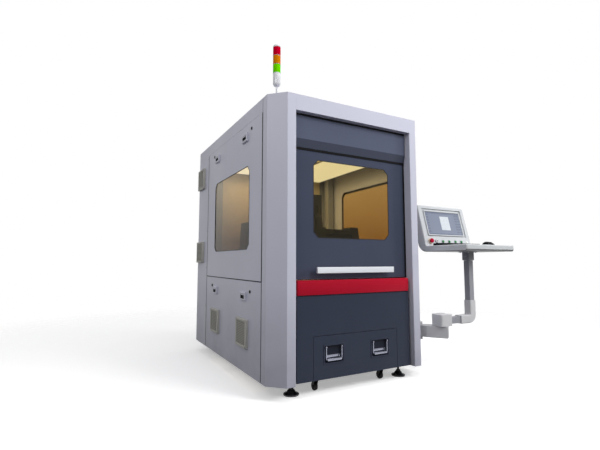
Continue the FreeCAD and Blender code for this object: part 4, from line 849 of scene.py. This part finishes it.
# %% Base, cap and rings of the tower
tower_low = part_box("tower_housing")[0][2]
lens_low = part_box("tower_lens_green")[0][2]
lens_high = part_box("tower_lens_red")[1][2]
socket_low = lens_low - 0.094
base_steps = [(0.0270, tower_low), (0.0270, tower_low + 0.004), (0.0240, tower_low + 0.007),
              (0.0100, tower_low + 0.009), (0.0068, tower_low + 0.013), (0.0062, socket_low - 0.004),
              (0.0105, socket_low), (0.0150, socket_low + 0.0006), (0.0222, socket_low + 0.0070),
              (0.0252, socket_low + 0.0125), (0.0260, socket_low + 0.0160),
              (0.0260, lens_low - 0.0022), (0.0250, lens_low - 0.0006), (0.0, lens_low - 0.0006)]
top_steps = [(0.0, lens_high + 0.0006), (0.0250, lens_high + 0.0006), (0.0260, lens_high + 0.0020),
             (0.0260, lens_high + 0.0085), (0.0244, lens_high + 0.0118), (0.0184, lens_high + 0.0142),
             (0.0080, lens_high + 0.0150), (0.0, lens_high + 0.0152)]
seats = (lens_low - 0.0021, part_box("tower_lens_amber")[0][2] - 0.0021,
         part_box("tower_lens_red")[0][2] - 0.0021, lens_high - 0.0001)
rings = [turned([(0.0200, seat), (0.0266, seat), (0.0266, seat + 0.0018), (0.0200, seat + 0.0018)],
                tower, sides=48, looped=True) for seat in seats]
piece("tower_base_and_cap", [turned(steps, tower, sides=48) for steps in (base_steps, top_steps)],
      "tower_silver", "cabinet", replaces=("tower_housing",))
piece("tower_rings", rings, "tower_silver", "cabinet")
print("tower: from", round(tower_low, 3), "to", round(lens_high + 0.0152, 3), "m")

# %% [markdown]
# ## Feet
# A levelling foot is a turned pad, a threaded stem and two nuts that lock it. The thread is the
# stem's own surface: its radius goes up and down with the height minus the angle's share of one
# turn, so the crest climbs as a screw does.

# %% Levelling feet
foot_places = [(x, y) for x in (-0.453, 0.453) for y in (-0.747, 0.790)]
pad_steps = [(0.0, 0.0), (0.0495, 0.0), (0.0510, 0.0015), (0.0510, 0.0090), (0.0485, 0.0120),
             (0.0360, 0.0150), (0.0285, 0.0230), (0.0240, 0.0310), (0.0200, 0.0345), (0.0, 0.0345)]
stem_low, stem_high, stem_radius, thread_pitch, thread_depth = 0.029, 0.100, 0.0088, 0.0035, 0.0007
nuts = [(0.0865, 0.0995, 0.0178), (0.0347, 0.0450, 0.0170)]  # low, high and radius of each


def thread(centre, low, high, steps=7, sides=18):
    """A threaded stem: radius r - depth (0.5 + 0.5 cos(2 pi z / pitch - angle))."""
    height = np.linspace(low, high, int((high - low) / thread_pitch * steps))[:, None]
    angle = (np.arange(sides) * 2 * np.pi / sides)[None, :]
    wave = 0.5 + 0.5 * np.cos(2 * np.pi * height / thread_pitch - angle)
    radius = stem_radius - thread_depth * wave
    rings = np.stack([centre[0] + radius * np.cos(angle), centre[1] + radius * np.sin(angle),
                      height + 0 * angle], -1)
    return skin(rings)


def nut(centre, low, high, radius):
    """A hexagon nut with its corners turned down at both ends."""
    edge = 0.0012
    steps = [(edge, low), (0, low + edge), (0, high - edge), (edge, high)]
    return stack(circle(radius, 6), steps, board((*centre, 0), RIGHT, BACKWARD))


pads, stems = [], []
for x, y in foot_places:
    pads.append(turned(pad_steps, (x, y, 0), sides=40))
    stems.append(thread((x, y), stem_low, stem_high))
    stems += [nut((x, y), *shape) for shape in nuts]
piece("foot_pads", pads, "foot_black", "cabinet", replaces=("levelling_feet",))
piece("foot_stems", stems, "fork_steel", "cabinet")
print("feet:", len(pads))

# %% [markdown]
# ## Casters
# A caster wheel is a turned tyre with a softly crowned tread and a recessed disc at its hub. The
# front forks swivel: a pressed crown, two cheeks that reach down behind the pivot, and a bolt.

# %% Wheels
axle_height, trail = 0.030, 0.018
wheel_steps = both_ends([(0.0045, -0.0062), (0.0150, -0.0066), (0.0190, -0.0100), (0.0250, -0.0108),
                         (0.0282, -0.0095), (0.0293, -0.0060)], [(0.0295, 0.0)])
bolt_steps = both_ends([(0.0, -0.0190), (0.0060, -0.0190), (0.0070, -0.0178), (0.0070, -0.0148),
                        (0.0038, -0.0146)])


def caster(word, row, body):
    """A wheel and its bolt, and the place of the pivot over them."""
    node = f"caster_wheel_{row}_{word}"
    hub = np.mean(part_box(node), 0)
    piece(f"tyre_{row}_{word}", [turned(wheel_steps, hub, RIGHT, 40, looped=True)], "tyre_black",
          f"{row}_wheel_{word}", replaces=(node,))
    piece(f"axle_{row}_{word}", [turned(bolt_steps, hub, RIGHT, 16)], "fork_steel", body)
    return hub[0], hub[1] - trail


print("a wheel measures", max(radius for radius, _ in wheel_steps) * 2000, "mm")


# %% Swivel forks
def fork(word, x, y):
    """A swivel fork about its pivot, from the box of its node: the plate under the cart, the ball
    race, the crown and two cheeks of 2.5 mm that reach down to the axle."""
    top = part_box(f"caster_fork_{word}")[1][2]
    flat = board((x, y, 0), RIGHT, BACKWARD)
    race = [(0.0, top - 0.0090), (0.0200, top - 0.0090), (0.0215, top - 0.0060), (0.0200, top - 0.0036)]
    skins = [stack(rounded(0.052, 0.052, 0.006, 3), [(0, top - 0.0035), (0, top)], flat),
             turned(race, (x, y, 0), sides=32),
             stack(rounded(0.031, 0.044, 0.010, 4),
                   [(0, top - 0.0135), (0, top - 0.0100), (0.0015, top - 0.0085)], flat, (0, 0.002))]
    cheek = np.array([(-0.014, top - 0.011), (trail - 0.010, axle_height - 0.001),
                      (trail - 0.007, axle_height - 0.008), (trail, axle_height - 0.011),
                      (trail + 0.007, axle_height - 0.008), (trail + 0.010, axle_height),
                      (trail + 0.006, top - 0.011)])
    for side in (-1, 1):
        plate = board((x + side * 0.0130, y, 0), BACKWARD, UP)
        skins.append(stack(cheek, [(0, 0.0), (0, side * 0.0020), (0.0005, side * 0.0025)], plate))
    piece(f"fork_{word}", skins, "fork_steel", f"front_caster_{word}",
          replaces=(f"caster_fork_{word}",))


for _, word in SIDES:
    fork(word, *caster(word, "front", f"front_caster_{word}"))
    caster(word, "rear", "scrap_cart")
print("casters: 4")

# %% [markdown]
# ## The cart's handles
# Each is a dish pressed in dark steel with a bright bail in it. The dish is one sheet, so its
# rings run from the middle of the front over the rim and back along the rear. The bail's thin arms
# are bent from bar, and a thick tube sits on its lower run. A bright chrome plate leans on the dish's
# floor, a painted highlight for the gloss on that sloping floor, and a grey border strip runs round its
# rim.

# %% Dishes
cart_face, dish_height, dish_across, bail_pivot = -0.855, 0.251, 0.193, 0.296
dish_size = (0.162, 0.127)
dish_steps = [(0.0300, -0.0135, 0.006, 0.030), (0.0125, -0.0135, 0.010, 0.048),
              (0.0105, -0.0120, 0.010, 0.045), (0.0092, -0.0065, 0.010, 0.004),
              (0.0090, 0.0010, 0.010, 0.0), (0.0075, 0.0024, 0.010, 0.0),
              (0.0010, 0.0024, 0.009, 0.0), (0.0, 0.0016, 0.009, 0.0), (0.0, 0.0002, 0.009, 0.0),
              (0.0090, 0.0002, 0.010, 0.0), (0.0102, -0.0012, 0.010, 0.001),
              (0.0105, -0.0075, 0.010, 0.005), (0.0118, -0.0134, 0.010, 0.046),
              (0.0135, -0.0148, 0.010, 0.049), (0.0300, -0.0148, 0.006, 0.030)]


def dish(centre):
    """The pressed dish round the middle of its rim. A step is its gap, its height, its corner
    radius and how much higher its lower edge lies, so that the lower wall slopes."""
    rings = []
    for gap, height, corner, lower in dish_steps:
        outline = rounded(dish_size[0] - 2 * gap, dish_size[1] - 2 * gap - lower, corner, 5)
        rings.append(front_board(cart_face)(outline, height, (centre, dish_height + lower / 2)))
    return skin(rings)


print("a dish has", len(dish_steps), "rings from the middle round the rim to the middle")

# %% Bails
bail_run, bail_half, bail_bend, bail_bar = 0.216, 0.0605, 0.010, 0.0034
grip_steps = both_ends([(0.0, -0.0560), (0.0062, -0.0560), (0.0086, -0.0545), (0.0092, -0.0520)])
eye_steps = both_ends([(0.0, -0.0045), (0.0058, -0.0045), (0.0062, -0.0035)])
pin_steps = [(0.0, 0.0), (0.0030, 0.0), (0.0030, 0.0100), (0.0, 0.0100)]


def bail(centre, word):
    """Bright bail: bar arms down from the pins, and a thick grip with turned ends."""
    depth = cart_face - 0.003
    corners = [(centre + across, depth, height) for across, height in (
        (-bail_half, bail_pivot), (-bail_half, bail_run), (bail_half, bail_run), (bail_half, bail_pivot))]
    skins = [bar(bent(corners, bail_bend), bail_bar, BACKWARD, 14),
             turned(grip_steps, (centre, depth - 0.0015, bail_run), RIGHT, 28)]
    for side in (-1, 1):
        eye = (centre + side * bail_half, depth, bail_pivot)
        skins.append(turned(eye_steps, eye, RIGHT, 20))
        skins.append(turned(pin_steps, eye, (side, 0, 0), 14))
    piece(f"bail_{word}_bright", skins, "bail_chrome", f"bail_{word}", replaces=(f"bail_handle_{word}",))


print("a bail's grip is", round(grip_steps[-1][1] * 2, 3), "m long")

# %% Both dishes with their lugs, highlight plates and borders
lean = math.atan2(0.0024, 0.0190)
border_steps = [(-0.0004, 0.0001), (-0.0004, 0.0022), (0.0006, 0.0032), (0.0084, 0.0032),
                (0.0092, 0.0024), (0.0092, 0.0001)]
lugs, highlight_plates, borders = [], [], []
for side, word in SIDES:
    centre = side * dish_across
    bail(centre, word)
    slope = board((centre, cart_face + 0.0113, 0.2345), RIGHT, (0, math.sin(lean), math.cos(lean)))
    highlight_plates.append(stack(rounded(0.112, 0.018, 0.004, 4), [(0, 0.0), (0, 0.0012), (0.0012, 0.0020)], slope))
    border = rounded(dish_size[0] + 0.0004, dish_size[1] + 0.0004, 0.009, 5)
    borders.append(frame_round(border, border_steps, front_board(cart_face), (centre, dish_height)))
    for end in (-1, 1):
        place = board((centre + end * 0.0710, 0, 0), BACKWARD, UP)
        lugs.append(stack(rounded(0.020, 0.014, 0.006, 4), both_ends([(0.0004, -0.0024), (0, -0.0018)]),
                          place, (cart_face + 0.0005, bail_pivot)))
piece("pressed_dishes", [dish(-dish_across), dish(dish_across)] + lugs, "dish_black", "scrap_cart",
      replaces=("handle_dishes",))
# Bright plates: a painted highlight for the gloss on the dishes' sloping floors.
piece("dish_highlight_plates", highlight_plates, "bail_chrome", "scrap_cart")
piece("dish_borders", borders, "panel_charcoal", "scrap_cart")
print("dishes: 2, bails: 2")

# %% [markdown]
# ## The door's grip bar
# The white bar across the door is an aluminium extrusion with softened edges, closed by end caps,
# on three round spacers. Its section is drawn once on the flank and carried across the door.

# %% Grip bar
bar_low, bar_high = (np.array(corner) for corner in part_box("door_handle"))
grip_front, grip_back, edge = bar_low[1], bar_low[1] + 0.016, 0.0012
section = rounded(grip_back - grip_front, bar_high[2] - bar_low[2], 0.004, 4)
middle = ((grip_front + grip_back) / 2, (bar_low[2] + bar_high[2]) / 2)
grip = stack(section, [(edge, bar_low[0]), (0, bar_low[0] + edge), (0, bar_high[0] - edge),
                       (edge, bar_high[0])], board((0, 0, 0), BACKWARD, UP), middle)
reach = door_front - grip_back
spacer = [(0.0090, 0.0), (0.0090, 0.0060), (0.0072, 0.0066), (0.0072, reach - 0.0046),
          (0.0100, reach - 0.0040), (0.0100, reach - 0.0002)]
spacers = [turned(spacer, (x, grip_back, middle[1]), BACKWARD, 24) for x in (-0.270, 0.0, 0.270)]
piece("grip_bar", [grip] + spacers, "handle_white", "lift_door", replaces=("door_handle",))
print("grip bar:", round(bar_high[0] - bar_low[0], 3), "m long")

# %% [markdown]
# ## The sill band
# The red band under the door is a pan folded from sheet. Its left end butts against the portal with
# a square end, and its right end has round corners, so its outline is drawn corner by corner.

# %% Sill band
band_low, band_high = (np.array(corner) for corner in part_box("red_band"))
band_left, round_end, band_sheet = band_low[0] - 0.0055, 0.009, 0.002
turn_out = np.linspace(0, np.pi / 2, 6)
turn_out = round_end * np.stack([np.sin(turn_out), 1 - np.cos(turn_out)], 1)
lower_right = np.array([band_high[0] - round_end, band_low[2]]) + turn_out
upper_right = lower_right[::-1] * (1, -1) + (0, band_low[2] + band_high[2])
left_end = [(band_left, band_high[2]), (band_left, band_low[2])]
band_outline = np.concatenate([lower_right, upper_right, left_end])
band_depth = band_high[1] - band_low[1]
band_steps = [(band_sheet, -band_sheet), (band_sheet, -band_depth), (0, -band_depth), (0, -0.0015),
              (0.0005, -0.0005), (0.0015, 0)]
piece("sill_band", [stack(band_outline, band_steps, front_board(band_low[1]))], "band_red", "cabinet",
      replaces=("red_band",))
print("sill band:", round(band_high[0] - band_left, 3), "m long")

# %% [markdown]
# ## The console's face
# The face leans back, so everything on it is drawn on a board that leans as much. The picture on
# the display is a plain operator's screen: a header, a toolbar, a drawing area and a status line,
# as thin tinted films on the glass.

# %% The face as a board
face_tilt = math.radians(14)
face_foot, face_up = (1.142, -0.675, 0.982), (0, math.sin(face_tilt), math.cos(face_tilt))
face, face_out = board(face_foot, RIGHT, face_up), np.cross(RIGHT, face_up)
control_row, glass = 0.042, -0.004
print("the face looks along", [round(float(part), 3) for part in face_out])

# %% Display
for name, colour in (("screen_dark", (104, 112, 130)), ("screen_mid", (116, 124, 142)),
                     ("screen_light", (196, 202, 208))):
    put(finish(name, colour, 0.2, bump=0.0, edge=0.0, drift=0.02, dust_and_shade=0.0),
        Emission_Color=shade(*colour), Emission_Strength=0.1)
film_thick = 0.0002


def films(name, shapes, level, finish_name):
    """Thin films of one colour on the glass, as one piece, each between two flat corners of the
    face. A film of a higher level lies over one of a lower level."""
    low = glass + level * film_thick
    skins = []
    for corners in shapes:
        start, end = np.array(corners)
        outline = rounded(*(end - start), 0.001, 2)
        skins.append(stack(outline, [(0, low), (0, low + film_thick)], face, (start + end) / 2))
    return piece(name, skins, finish_name, "console")


films("screen_ground", [((-0.212, 0.107), (0.212, 0.313))], 0.5, "screen_mid")
films("screen_header", [((-0.212, 0.300), (0.212, 0.313)), ((-0.212, 0.107), (0.212, 0.117))], 1.6,
      "screen_dark")
films("screen_drawing", [((-0.040, 0.150), (0.070, 0.276))], 1.6, "screen_light")
keys = [((left, v), (right, v + 0.015)) for left, right in ((-0.204, -0.178), (0.146, 0.204))
        for v in np.linspace(0.128, 0.282, 7)]
films("screen_keys", keys, 1.6, "screen_dark")
cuts = [((-0.030 + 0.034 * i, 0.160 + 0.038 * j), (-0.008 + 0.034 * i, 0.184 + 0.038 * j))
        for i in range(3) for j in range(3)]
films("screen_cuts", cuts, 2.7, "screen_light")
bezel_steps = [(0, -0.0088), (0, -0.0010), (0.0012, 0.0), (0.0085, 0.0), (0.0100, -0.0014),
               (0.0100, glass + 0.0001), (0.004, -0.0088)]
bezel = frame_round(rounded(0.4475, 0.2295, 0.003, 3), bezel_steps, face, (0.0, 0.210))
piece("display_bezel", [bezel], "console_grey", "console")
print("screen:", 4 + len(keys) + len(cuts), "films on the glass")

# %% [markdown]
# ## Controls
# A 22 mm control has a bright bezel ring, and a cap that travels in it. Each cap rides its own
# body, and the ring rides the console, so the two part as the real ones do when it's pressed.

# %% Profiles of the controls
ring_steps = [(0.0112, 0.0005), (0.0152, 0.0005), (0.0152, 0.0026), (0.0142, 0.0040), (0.0120, 0.0044),
              (0.0112, 0.0036)]
cap_steps = [(0.0, 0.0010), (0.0104, 0.0010), (0.0105, 0.0070), (0.0100, 0.0084), (0.0085, 0.0094),
             (0.0045, 0.0100), (0.0, 0.0101)]
knob_steps = [(0.0, 0.0035), (0.0108, 0.0035), (0.0110, 0.0040), (0.0110, 0.0092), (0.0100, 0.0104),
              (0.0, 0.0106)]
mushroom = [(0.0, 0.0010), (0.0080, 0.0010), (0.0080, 0.0120), (0.0130, 0.0128), (0.0185, 0.0150),
            (0.0200, 0.0180), (0.0202, 0.0215), (0.0190, 0.0252), (0.0160, 0.0280), (0.0110, 0.0297),
            (0.0050, 0.0304), (0.0, 0.0305)]
stop_plate = [(0.0100, 0.0004), (0.0260, 0.0004), (0.0260, 0.0022), (0.0250, 0.0032), (0.0185, 0.0036),
              (0.0175, 0.0048), (0.0100, 0.0048)]
spare_cap = [(0.0, 0.0), (0.0112, 0.0), (0.0112, 0.0030), (0.0100, 0.0042), (0.0, 0.0048)]
columns = {"stop": -0.222, "selector": -0.150, "1": -0.072, "2": 0.006, "3": 0.084, "4": 0.160,
           "spare": 0.236}


def on_face(column):
    """The point of the control row in that column."""
    return face(np.array([[columns[column], control_row]]))[0]


def control(steps, column, sides=32, looped=False):
    """A profile turned about the face's outward direction in that column."""
    return turned(steps, on_face(column), face_out, sides, looped)


print("columns:", ", ".join(columns))

# %% Push buttons, rings and emergency stop
for number in "1234":
    piece(f"cap_{number}", [control(cap_steps, number)], "button_green", f"button_{number}",
          replaces=(f"push_button_{number}",))
wide_ring = [(radius + 0.0008, height) for radius, height in ring_steps]
rings = [control(ring_steps, number, looped=True) for number in "1234"]
rings.append(control(wide_ring, "selector", looped=True))
piece("control_rings", rings, "screw_steel", "console")
piece("stop_mushroom", [control(mushroom, "stop", 48)], "stop_red", "stop_button",
      replaces=("emergency_stop",))
piece("stop_plate", [control(stop_plate, "stop", 48, True)], "stop_ring", "console")
print("buttons: 4, stops: 1")

# %% Selector and capped socket
grip_turn = math.radians(30)
grip_along = (np.array(RIGHT) * math.cos(grip_turn)
              + np.cross(face_out, RIGHT) * math.sin(grip_turn))
slant = board(on_face("selector"), grip_along, np.cross(face_out, grip_along))
handle = stack(rounded(0.0066, 0.0205, 0.0028, 5), [(0, 0.0100), (0, 0.0185), (0.0012, 0.0200)], slant)
mark = stack(rounded(0.0018, 0.0090, 0.0006, 2), [(0, 0.0195), (0, 0.0203)], slant, (0.0, 0.0045))
piece("selector_grip", [control(knob_steps, "selector", 40), handle], "knob_white", "selector",
      replaces=("selector_knob",))
piece("selector_mark", [mark], "gasket_rubber", "selector")
piece("socket_cap", [control(spare_cap, "spare")], "knob_white", "console")
print("selector: turned by", round(math.degrees(grip_turn)), "degrees")

# %% [markdown]
# ## Keyboard and mouse
# A key is a small block whose top is drawn in and lies a little hollow, so its last ring steps
# down again. The keys stand on a sloping board. The mouse is one closed surface: an egg-shaped
# plan whose height is a dome, higher behind the middle.

# %% The keyboard's case
keyboard_low, keyboard_high = (np.array(corner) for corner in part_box("keyboard"))
board_rise = math.atan2(0.009, keyboard_high[1] - keyboard_low[1])
keyboard_face = board((0, keyboard_low[1], keyboard_low[2] + 0.010), RIGHT,
                      (0, math.cos(board_rise), math.sin(board_rise)))
case_outline = rounded(*(keyboard_high - keyboard_low)[:2], 0.008, 4)
case_middle = (keyboard_low[:2] + keyboard_high[:2]) / 2
on_tray = board((0, 0, keyboard_low[2]), RIGHT, BACKWARD)
case_rings = [on_tray(inset(case_outline, gap), 0.0, case_middle) for gap in (0.001, 0, 0, 0.0015)]
for ring, lift in zip(case_rings[2:], (0.0085, 0.0100)):
    ring[:, 2] += lift + math.tan(board_rise) * (ring[:, 1] - keyboard_low[1])
print("keyboard:", round(float(keyboard_high[0] - keyboard_low[0]), 3), "m wide")

# %% Keys
key_pitch, key_gap, key_depth, row_pitch = 0.0190, 0.0018, 0.0205, 0.0262
first_row, first_key, block_gap = 0.0210, 0.0105, 0.010
key_steps = [(0, -0.0005), (0.0002, 0.0020), (0.0016, 0.0048), (0.0030, 0.0044)]
key_rows = [[1.0] * 15, [1.5] + [1.0] * 12 + [1.5], [1.8] + [1.0] * 11 + [2.2], [2.3] + [1.0] * 10 + [2.7],
            [1.5, 1.2, 1.2, 6.6, 1.2, 1.2, 2.1]]


def key(width, across, row):
    """A key that many pitches wide, with its middle that far across and in that row."""
    cap = rounded(width * key_pitch - key_gap, key_depth, 0.0025, 2)
    return stack(cap, key_steps, keyboard_face, (across, first_row + row * row_pitch))


keys = []
for row, widths in enumerate(reversed(key_rows)):
    start = keyboard_low[0] + first_key
    lefts = np.cumsum([0.0] + [width * key_pitch for width in widths])
    keys += [key(width, start + left + width * key_pitch / 2, row) for width, left in zip(widths, lefts)]
    start += 15 * key_pitch + block_gap
    keys += [key(1.0, start + key_pitch * (column + 0.5), row) for column in range(5)]
piece("keyboard_and_keys", [skin(case_rings)] + keys, "key_black", "console", replaces=("keyboard",))
print("keyboard:", len(keys), "keys")

# %% Mouse
mouse_low, mouse_high = (np.array(corner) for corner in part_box("mouse"))
mouse_middle = (mouse_low + mouse_high) / 2
half_width, half_length = (mouse_high - mouse_low)[:2] / 2
mouse_height = (mouse_high[2] - mouse_low[2]) * 1.15


def dome(levels=14, sides=48):
    """Rings from the foot to the crown: at level s the plan shrinks by cos(s)^0.6 and the height is
    sin(s)^0.8 of a crest that falls off towards the front with the cosine of the length."""
    s = np.linspace(0, np.pi / 2, levels)[:, None]
    angle = (np.arange(sides) * 2 * np.pi / sides)[None, :]
    plan = np.cos(s) ** 0.6
    plan = np.where(plan < 1e-6, 0.0, plan)
    waist = 1 - 0.07 * np.cos(2 * angle) ** 2
    x = half_width * plan * np.sign(np.cos(angle)) * np.abs(np.cos(angle)) ** 0.8 * waist
    y = half_length * plan * np.sign(np.sin(angle)) * np.abs(np.sin(angle)) ** 0.8
    crest = 0.80 + 0.20 * np.cos(np.clip((y - 0.012) / half_length, -1, 1) * np.pi / 2 * 1.4)
    z = mouse_height * np.sin(s) ** 0.8 * crest
    rings = np.stack([mouse_middle[0] + x, mouse_middle[1] + y, mouse_low[2] + z], -1)
    return skin(rings)


wheel_at = (mouse_middle[0], mouse_low[1] + 0.030, mouse_low[2] + 0.0245)
scroll = turned(both_ends([(0.0, -0.0030), (0.0070, -0.0030), (0.0080, -0.0018)]), wheel_at, RIGHT, 24)
piece("mouse_body", [dome()], "key_black", "console", replaces=("mouse",))
piece("mouse_wheel", [scroll], "gasket_rubber", "console")
print("mouse:", round(half_length * 2, 3), "m long")

# %% [markdown]
# ## Fittings of the support arm
# The castings of the arm are carried by the frame. Over the pivot at the wall and over the one at
# the knee lies a turned cap, which keeps dirt out of the bearing.

# %% Pivot caps
arm_pivot, knee_pivot = (0.703, -0.713), (0.812, -0.858)
wall_top, knee_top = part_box("wall_bracket")[1][2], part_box("knee_joint")[1][2]


def pivot_cap(centre, height, radius):
    """A flat turned cap with a rounded rim and a shallow dish in its top."""
    steps = [(0.0, 0.0), (radius, 0.0), (radius, 0.0022), (radius - 0.0016, 0.0040),
             (radius - 0.0050, 0.0044), (radius - 0.0070, 0.0032), (0.0, 0.0030)]
    return turned(steps, (*centre, height), sides=40)


piece("bracket_cap", [pivot_cap(arm_pivot, wall_top - 0.0105, 0.0205)], "arm_grey", "cabinet")
piece("knee_cap", [pivot_cap(knee_pivot, knee_top, 0.0300)], "arm_grey", "console_arm")
print("arm fittings: caps at", round(wall_top - 0.0105, 3), "and", round(knee_top, 3), "m")

# %% [markdown]
# ## Light in the chamber
# Two lamp trays run under the ceiling. Each carries a wide opal panel in a thin frame, which
# spreads its light so evenly that the ceiling looks bright through the amber door. The panel is a
# thin slab that glows on its own, because the tubes behind it never show. Its glow is only what the
# eye sees of it, and the studio's warm lamp under the ceiling gives the chamber its light.

# %% Chamber lamps
opal_middle, opal_size = (0.290, -0.060), (1.080, 0.460)
opal_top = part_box("chamber_liner")[1][2] - 0.0165
panel_steps = [(0, 0.0005), (0, 0.0060), (0.002, 0.0070)]
rim_steps = [(0, 0.0), (0, 0.0090), (0.0015, 0.0105), (0.0100, 0.0105), (0.0110, 0.0095),
             (0.0110, 0.0074), (0.0060, 0.0)]
below = board((0, 0, opal_top), BACKWARD, RIGHT)
for side, word in SIDES:
    middle = (opal_middle[1], side * opal_middle[0])
    sheet = stack(rounded(*(part - 0.018 for part in opal_size), 0.006, 3), panel_steps, below, middle)
    rim = frame_round(rounded(*opal_size, 0.010, 4), rim_steps, below, middle)
    piece(f"opal_panel_{word}", [sheet], "opal_glow", "cabinet")
    piece(f"opal_frame_{word}", [rim], "axis_aluminium", "cabinet")
print("opal panels: 2, each", opal_size, "m")

# %% [markdown]
# ## Fasteners
# The fixed sheets at the back are held by button-head screws at even steps. The console stands on
# its column, held by four socket screws from below, and two more clamp the collar. Each kind of
# head is turned with few faces and repeated.

# %% Heads
def button_heads(place, spots, axis):
    """Button heads at flat spots of a board."""
    steps = [(0.0060, 0.0), (0.0060, 0.0010), (0.0052, 0.0024), (0.0034, 0.0032), (0.0024, 0.0032),
             (0.0022, 0.0014), (0.0, 0.0013)]
    return [turned(steps, place(np.array([spot]))[0], axis, 12) for spot in spots]


def socket_screw(place, axis, radius=0.0045):
    """A socket screw's head with a blind hole, drawn with few faces."""
    steps = [(radius, 0.0), (radius, radius * 0.85), (radius * 0.86, radius), (radius * 0.50, radius),
             (radius * 0.46, radius * 0.35), (0.0, radius * 0.30)]
    return turned(steps, place, axis, 12)


def round_sheet(low, high, margin, across, up):
    """Even spots along the margin of a sheet between two flat corners."""
    u = np.linspace(low[0] + margin, high[0] - margin, across)
    v = np.linspace(low[1] + margin, high[1] - margin, up)
    edge = [(a, b) for a in u for b in (v[0], v[-1])]
    return edge + [(a, b) for b in v[1:-1] for a in (u[0], u[-1])]


print("a sheet of 4 by 6 screws has", len(round_sheet((0, 0), (1, 1), 0.1, 4, 6)))

# %% Screws in the cladding
sheet_low, sheet_high = 0.092, 1.836
rear_board = board((0, back_face, 0), (-1, 0, 0), UP)
roof_board = board((0, 0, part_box("roof_cover")[1][2]), RIGHT, BACKWARD)
heads = button_heads(rear_board, round_sheet((-0.628, sheet_low), (0.628, sheet_high), 0.022, 4, 6),
                     BACKWARD)
for side, _ in SIDES:
    spots = round_sheet((0.557, sheet_low), (0.883, sheet_high), 0.018, 2, 6)
    heads += button_heads(side_board(side, flank_sheet), [(side * u, v) for u, v in spots], (side, 0, 0))
heads += button_heads(roof_board, round_sheet((-0.640, -0.630), (0.640, 0.872), 0.014, 5, 5), UP)
spigot, flange_circle = (0.0, 0.888, 1.560), circle(0.1145, 8)
flange_head = [(0.0050, 0.0), (0.0050, 0.0030), (0.0040, 0.0042), (0.0, 0.0042)]
heads += [turned(flange_head, (spigot[0] + u, spigot[1] + 0.0016, spigot[2] + v), BACKWARD, 12)
          for u, v in flange_circle]
piece("cladding_screws", heads, "screw_steel", "cabinet")
print("cladding screws:", len(heads))

# %% Screws of the console
column, collar_height = (1.142, -0.858), 0.893
flange_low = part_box("column_collar")[1][2] - 0.006
console_screws = [socket_screw((column[0] + u, column[1] + v, flange_low), (0, 0, -1))
                  for u in (-0.044, 0.044) for v in (-0.040, 0.040)]
console_screws += [socket_screw((column[0] + side * 0.032, column[1], collar_height), (side, 0, 0))
                   for side in (-1, 1)]
piece("console_screws", console_screws, "screw_steel", "console")
print("console screws:", len(console_screws))

# %% [markdown]
# ## The exhaust spigot and the gland
# The spigot is rolled from sheet: its free end has a bead that holds the hose clip, and a ring
# flange is screwed to the back. The gland is a turned hexagon with a domed nut.

# %% Spigot and gland
sleeve = [(0.1000, 0.0), (0.1032, 0.0), (0.1032, 0.0360), (0.1048, 0.0385), (0.1048, 0.0425),
          (0.1032, 0.0450), (0.1032, 0.0545), (0.1020, 0.0556), (0.1000, 0.0556)]
flange = [(0.1034, -0.0029), (0.1268, -0.0029), (0.1268, 0.0010), (0.1258, 0.0018), (0.1050, 0.0018),
          (0.1034, 0.0030)]
piece("spigot_sleeve", [turned(steps, spigot, BACKWARD, 72, looped=True) for steps in (sleeve, flange)],
      "cabinet_grey", "cabinet")
gland = (0.420, back_face, 0.240)
hexagon = stack(circle(0.0262, 6), [(0, 0.0002), (0, 0.0075), (0.0012, 0.0090)],
                board(gland, (-1, 0, 0), UP))
dome_nut = [(0.0245, 0.0085), (0.0215, 0.0105), (0.0200, 0.0180), (0.0178, 0.0225), (0.0120, 0.0240),
            (0.0100, 0.0215), (0.0, 0.0210)]
piece("gland_nut", [hexagon, turned(dome_nut, gland, BACKWARD, 36)], "key_black", "cabinet")
print("back: spigot and gland")
